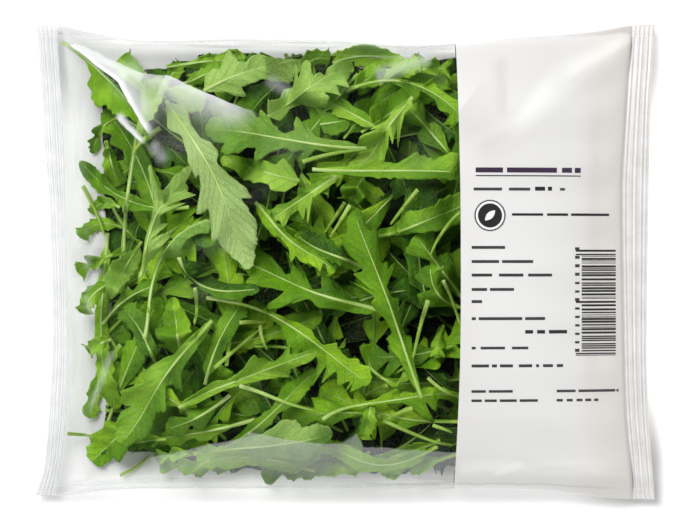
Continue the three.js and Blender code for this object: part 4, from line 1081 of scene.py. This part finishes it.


def clearFilmMaterial(name, milkAndReflections):
    material, add = newMaterial(name)
    place = add("TexCoord", out="Object")
    waves = {"Vector": place, "Scale": filmLook["crinkleScale"], "Detail": 2.0, "Roughness": 0.45}
    crinkle = add("TexNoise", links=waves, out="Fac")
    bump = add("Bump", links={"Height": crinkle, "Strength": filmLook["crinkle"], "Distance": 0.002})
    facing = add("LayerWeight", links={"Blend": 0.5, "Normal": bump}, out="Facing")
    slant = add("Math", toPower, [facing, 4.0])
    sheen = add("Math", timesPlus, [slant, filmLook["mirror"], filmLook["mirrorFaceOn"]])
    gloss = add("BsdfGlossy", links={
        "Color": (1, 1, 1, 1), "Roughness": filmLook["roughness"], "Normal": bump})
    part = add("SeparateXYZ", links=[place]).node.outputs
    towardsFold = add("Attribute", {"attribute_name": "towardsFold"}, out="Fac")
    # painted shade: the film is greyed along the far fold, where it is seen edge on
    farFold = add("Math", times, [
        add("MapRange", easing, [towardsFold, 0.94, 0.985]), add("MapRange", easing, [part[1], 0, 0.05])])
    paneWithPaintedShade = add("ValToRGB", {"stops": [(0.0, "#fcfcfc"), (1.0, "#f5f4f5")]}, [farFold])
    clear = add("BsdfTransparent", links={"Color": paneWithPaintedShade})
    film = add("MixShader", links=[sheen, clear, gloss])
    hazeAndPaintedGlare = add("BsdfPrincipled", links={"Base Color": linear("#e9ebeb"), "Roughness": 0.35, "Normal": bump})
    wander = add("Math", times, [add("Math", minus, [crinkle, 0.5]), 2.0])
    x = add("Math", timesPlus, [part[0], 1000.0, wander])
    y = add("Math", timesPlus, [part[1], 1000.0, wander])
    amount = 0.0   # share of the film that is milky, partly creased film and partly painted reflection
    upper = add("MapRange", easing, [part[2], 0.012, 0.015])   # the back film stays clear
    for shape in milkAndReflections:
        amount = add("Math", larger, [amount, add("Math", times, [upper, veil(add, x, y, shape)])])
    # fine creases run along the folds and the left seal, and each fold shows as a thin pale line, partly
    # creased film and partly painted highlight
    nearSeal = add("MapRange", easing, [part[0], -0.1, -0.116])
    nearFold = add("MapRange", easing, [towardsFold, 0.92, 0.97])
    for near, stretch in ((nearFold, (12, 300, 0)), (nearSeal, (170, 14, 0))):
        along = add("Mapping", links={"Vector": place, "Scale": stretch})
        crease = add("TexNoise", links={"Vector": along, "Scale": 1.0, "Detail": 2.0}, out="Fac")
        line = add("MapRange", easing, [crease, 0.48, 0.62])
        crease = add("Math", times, [near, add("Math", times, [line, filmLook["creaseMilkAndSheen"]])])
        amount = add("Math", larger, [amount, crease])
    foldLine = add("MapRange", easing, [towardsFold, 0.985, 0.998])
    amount = add("Math", larger, [amount, add("Math", times, [foldLine, filmLook["foldMilkAndSheen"]])])
    both = add("MixShader", links=[amount, film, hazeAndPaintedGlare])
    add("OutputMaterial", links=[both])
    return material


sealLook = {"ribs": 8, "knurlScale": 900.0, "unevenness": 0.8}


def ribbing(add):   # height of the crimped ribs along a seal, with a dotted knurl at its ends
    inward = add("Attribute", {"attribute_name": "inward"}, out="Fac")
    towardsFold = add("Attribute", {"attribute_name": "towardsFold"}, out="Fac")
    wave = add("Math", sine, [add("Math", times, [inward, 2 * math.pi * sealLook["ribs"]])])
    place = add("TexCoord", out="Object")
    dots = add("TexVoronoi", links={"Vector": place, "Scale": sealLook["knurlScale"], "Randomness": 0.15})
    knurl = add("MapRange", easing, [towardsFold, 0.945, 0.96])
    along = add("TexNoise", links={"Vector": place, "Scale": 160.0, "Detail": 3.0}, out="Fac")
    ribs = add("Math", timesPlus, [wave, 0.32, add("Math", timesPlus, [along, sealLook["unevenness"], 0.1])])
    return add("Mix", {"data_type": "FLOAT"}, {0: knurl, 2: ribs, 3: dots})


def sealMaterial(name, shade, milk):
    material, add = newMaterial(name)
    ribs = ribbing(add)
    bump = add("Bump", links={"Height": ribs, "Strength": 0.5, "Distance": 0.0003})
    # painted shade: the colour is darker in the rib valleys and in the knurl's dents, lighter on the crests
    colour = add("ValToRGB", {"stops": [(0.0, shade[0]), (0.5, shade[1]), (1.0, shade[2])]}, [ribs])
    skin = add("BsdfPrincipled", links={"Base Color": colour, "Roughness": 0.35, "Normal": bump})
    clear = add("BsdfTransparent", links={"Color": (0.985, 0.985, 0.985, 1)})
    both = add("MixShader", links=[milk, clear, skin])
    add("OutputMaterial", links=[both])
    return material


def whiteFilmMaterial():
    material, add = newMaterial("oriented polypropylene film, printed white")
    place = add("TexCoord", out="Object")
    crinkle = add("TexNoise", links={"Vector": place, "Scale": 60.0, "Detail": 3.0}, out="Fac")
    bump = add("Bump", links={"Height": crinkle, "Strength": 0.06, "Distance": 0.002})
    part = add("SeparateXYZ", links=[place]).node.outputs
    wander = add("Math", times, [add("Math", minus, [crinkle, 0.5]), 5.0])
    x = add("Math", timesPlus, [part[0], 1000.0, wander])
    y = add("Math", timesPlus, [part[1], 1000.0, wander])
    shade = 0.5   # middle of the ramp below
    # painted shade and painted highlights where the panel film bends
    for shape in paintedPanelShading:
        shade = add("Math", plus, [veil(add, x, y, shape), shade])
    # painted shadow: the panel darkens along its edge next to the white seal
    inward = add("Attribute", {"attribute_name": "inward"}, out="Fac")
    shade = add("Math", minus, [
        shade, add("Math", times, [add("MapRange", easing, [inward, 0.975, 1.0]), 0.5])])
    white = add("ValToRGB", {"stops": [(0.0, "#cfcdcc"), (0.5, "#e6e5e3"), (1.0, "#f7f7f6")]}, [shade])
    # thinner ink near the seal
    warm = add("Math", times, [add("MapRange", easing, [part[0], 0.09, 0.104]), 0.75])
    tint = {0: warm, 6: white, 7: linear("#fbf7f2")}
    colour = add("Mix", {"data_type": "RGBA", "blend_type": "MULTIPLY"}, tint, out=2)
    skin = add("BsdfPrincipled", links={"Base Color": colour, "Roughness": 0.42, "Normal": bump})
    add("OutputMaterial", links=[skin])
    return material


def inkMaterial():   # thin satin ink, black, dark violet or white
    material, add = newMaterial("printing ink on film")
    ink = add("Attribute", {"attribute_name": "ink"}, out="Fac")
    inks = [(0.0, "#161417"), (0.25, "#3b393d"), (0.5, "#341d3c"), (1.0, "#f2f2f2")]
    colour = add("ValToRGB", {"stops": inks}, [ink])
    skin = add("BsdfPrincipled", links={"Base Color": colour, "Roughness": 0.5})
    add("OutputMaterial", links=[skin])
    return material


# Clear polypropylene: nearly unseen face on, mirror-like where it turns away, milky where it is creased, with
# painted reflection of the lights in its milky patches
clearFilm = clearFilmMaterial("oriented polypropylene film, clear", filmMilkAndReflections)
# Hot crimped film: two plies pressed into ribs, so it is frosted white, with fine lines of painted shade in
# the rib valleys
sealFilm = sealMaterial("polypropylene film, hot crimped, clear", ("#d3d6d8", "#f0f1f2", "#fcfcfc"), 0.62)
lapFilm = sealMaterial("polypropylene film, lap sealed, clear", ("#eff0f1", "#eff0f1", "#eff0f1"), 0.03)
whiteSealFilm = sealMaterial("polypropylene film, hot crimped, white", ("#cfcac7", "#e6e4e2", "#f4f4f4"), 1.0)
# White flexographic print under the film, smooth and satin, with painted shade and highlights where it bends
# and a painted shadow by the seal
whiteFilm = whiteFilmMaterial()
ink = inkMaterial()

leafSkins = [leafUpper, leafUnder]
for piece, slot, materials in (
        (windowFilm, "clear_film", [clearFilm]), (panelFilm, "white_film", [whiteFilm]),
        (leftSeal, "clear_film", [sealFilm]), (rightSeal, "white_film", [whiteSealFilm]),
        (seam, "clear_film", [lapFilm]), (marks, "dark_print", [ink]), (badge, "dark_print", [ink]),
        (largePiece, "salad_leaf", leafSkins), (smallPiece, "salad_leaf", leafSkins),
        (middlePiece, "salad_leaf", leafSkins), (innerPiece, "salad_leaf", leafSkins),
        (shownStalks, "leaf_stalk", [stalkSkin]), (middleStalks, "leaf_stalk", [stalkSkin]),
        (innerStalks, "leaf_stalk", [stalkSkin]), (looseStalkPiece, "leaf_stalk", [stalkSkin])):
    for material in materials:
        piece.data.materials.append(material)
    if materials is leafSkins:
        shell = piece.modifiers.new("blade", "SOLIDIFY")
        shell.thickness = pile["thickness"] * mm
        shell.offset = 0
        shell.material_offset = 1   # the underside takes the second material
        shell.use_even_offset = False
    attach(piece, "root")
    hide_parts("bag")

print("studio")
studio = {"cameraHeight": 2.0, "frameWidth": 277.8, "cameraY": 0.6, "seamLevel": 12}
cameraData = bpy.data.cameras.new("camera")
camera = bpy.data.objects.new("camera", cameraData)
bpy.context.scene.collection.objects.link(camera)
camera.location = (0, studio["cameraY"] * mm, studio["cameraHeight"])
cameraData.sensor_width = 36
cameraData.lens = 36 * (studio["cameraHeight"] - studio["seamLevel"] * mm) / (studio["frameWidth"] * mm)
cameraData.clip_end = 20
bpy.context.scene.camera = camera

bm = bmesh.new()
bmesh.ops.create_grid(bm, x_segments=1, y_segments=1, size=3)
floorMesh = bpy.data.meshes.new("floor")
bm.to_mesh(floorMesh)
bm.free()
floor = bpy.data.objects.new("floor", floorMesh)
bpy.context.scene.collection.objects.link(floor)
floorMaterial, add = newMaterial("white studio table with painted glow and shade")
place = add("SeparateXYZ", links=[add("TexCoord", out="Object")]).node.outputs
fromMiddle = [add("Math", unsigned, [place[axis]]) for axis in (0, 1)]
low = add("Math", times, [place[1], -1.0])
footprint = {"halfLength": 0.121, "farSide": 0.092, "nearSide": 0.0948, "cornerX": 0.098, "cornerY": 0.062}
# the bag's own shadow stays below it and at its lower right
shadowRight = add("Math", times, [
    add("MapRange", easing, [low, 0.045, 0.08]), add("MapRange", easing, [place[0], 0.0, 0.1])])
beyondX = add("Math", timesPlus, [
    shadowRight, -0.0045, add("Math", minus, [fromMiddle[0], footprint["halfLength"]])])
beyondY = add("Math", larger, [
    add("Math", minus, [place[1], footprint["farSide"]]), add("Math", minus, [low, footprint["nearSide"]])])
beyondBag = add("Math", larger, [beyondX, beyondY])
inCorner = add("Math", smaller, [
    add("Math", minus, [fromMiddle[0], footprint["cornerX"]]),
    add("Math", minus, [fromMiddle[1], footprint["cornerY"]])])
# painted light: the table glows in shapes laid around the bag, to fill the shade beside the leaves and the
# ring around the bag
besideX = add("MapRange", easing, [
    add("Math", unsigned, [add("Math", plus, [place[0], 0.019])]), 0.079, 0.093])
besideY = add("MapRange", easing, [fromMiddle[1], 0.081, 0.094])
besideY = add("Math", times, [
    besideY, add("Math", timesPlus, [add("MapRange", easing, [low, 0.0885, 0.093]), -0.3, 1.0])])
besideX = add("Math", times, [
    besideX, add("Math", timesPlus, [add("MapRange", easing, [low, 0.086, 0.092]), -0.45, 1.0])])
gainY = add("Math", timesPlus, [add("MapRange", easing, [place[1], 0.0, 0.05]), 0.11, 0.37])
paintedGlow = add("Math", larger, [add("Math", times, [besideX, 0.46]), add("Math", times, [besideY, gainY])])
paintedGlow = add("Math", times, [paintedGlow, add("Math", minus, [1.0, add("MapRange", easing, [beyondBag, 0.01, 0.04])])])
lowerLeft = add("Math", times, [
    add("MapRange", easing, [low, 0.05, 0.08]), add("MapRange", easing, [place[0], 0.0, -0.1])])
loss = add("Math", timesPlus, [lowerLeft, 0.5, -0.85])
paintedGlow = add("Math", times, [
    paintedGlow, add("Math", timesPlus, [add("MapRange", easing, [inCorner, -0.01, 0.02]), loss, 1.0])])
paintedGlow = add("Math", plus, [paintedGlow, add("Math", times, [add("MapRange", easing, [beyondBag, 0.0, 0.007]), 0.36])])
paintedGlow = add("Math", minusClamped, [
    paintedGlow, add("Math", times, [add("MapRange", easing, [beyondBag, 0.012, 0.09]), 0.5])])
paintedGlow = add("Math", larger, [paintedGlow, add("Math", times, [add("MapRange", easing, [beyondBag, 0.0, 0.01]), 0.2])])
# painted shade: the table's colour is darker at and beyond the bag's corners
tableColourWithPaintedShade = add("Math", timesPlus, [add("MapRange", easing, [inCorner, -0.015, 0.012]), -0.09, 0.85])
table = add("BsdfDiffuse", links={"Color": tableColourWithPaintedShade})
# painted light: the glow of the table
glow = add("Emission", links={"Color": (1, 1, 1, 1), "Strength": paintedGlow})
add("OutputMaterial", links=[add("AddShader", links=[table, glow])])
floorMesh.materials.append(floorMaterial)


def softbox(name, place, size, power):
    data = bpy.data.lights.new(name, "AREA")
    data.shape = "RECTANGLE"
    data.size, data.size_y = size
    data.energy = power
    lamp = bpy.data.objects.new(name, data)
    lamp.location = place
    lamp.rotation_euler = Vector(place).to_track_quat("Z", "Y").to_euler()
    bpy.context.scene.collection.objects.link(lamp)


softbox("key", (-0.85, 1.05, 1.85), (1.2, 1.2), 40)
softbox("fill", (1.4, -0.9, 1.3), (1.2, 1.2), 6)
world = bpy.data.worlds.new("studio")
bpy.context.scene.world = world
world.use_nodes = True
world.node_tree.nodes.clear()
add = partial(addNode, world.node_tree)
direction = add("TexCoord", out="Generated")
height = add("SeparateXYZ", links=[direction], out=2)
sky = add("ValToRGB", {"stops": [(0.0, 0.66), (0.6, 0.66), (0.86, 0.35), (0.97, 0.06)]}, [height])
background = add("Background", links={"Color": sky, "Strength": 1.0})
add("OutputWorld", links={"Surface": background})
bpy.context.scene.view_settings.view_transform = "Standard"
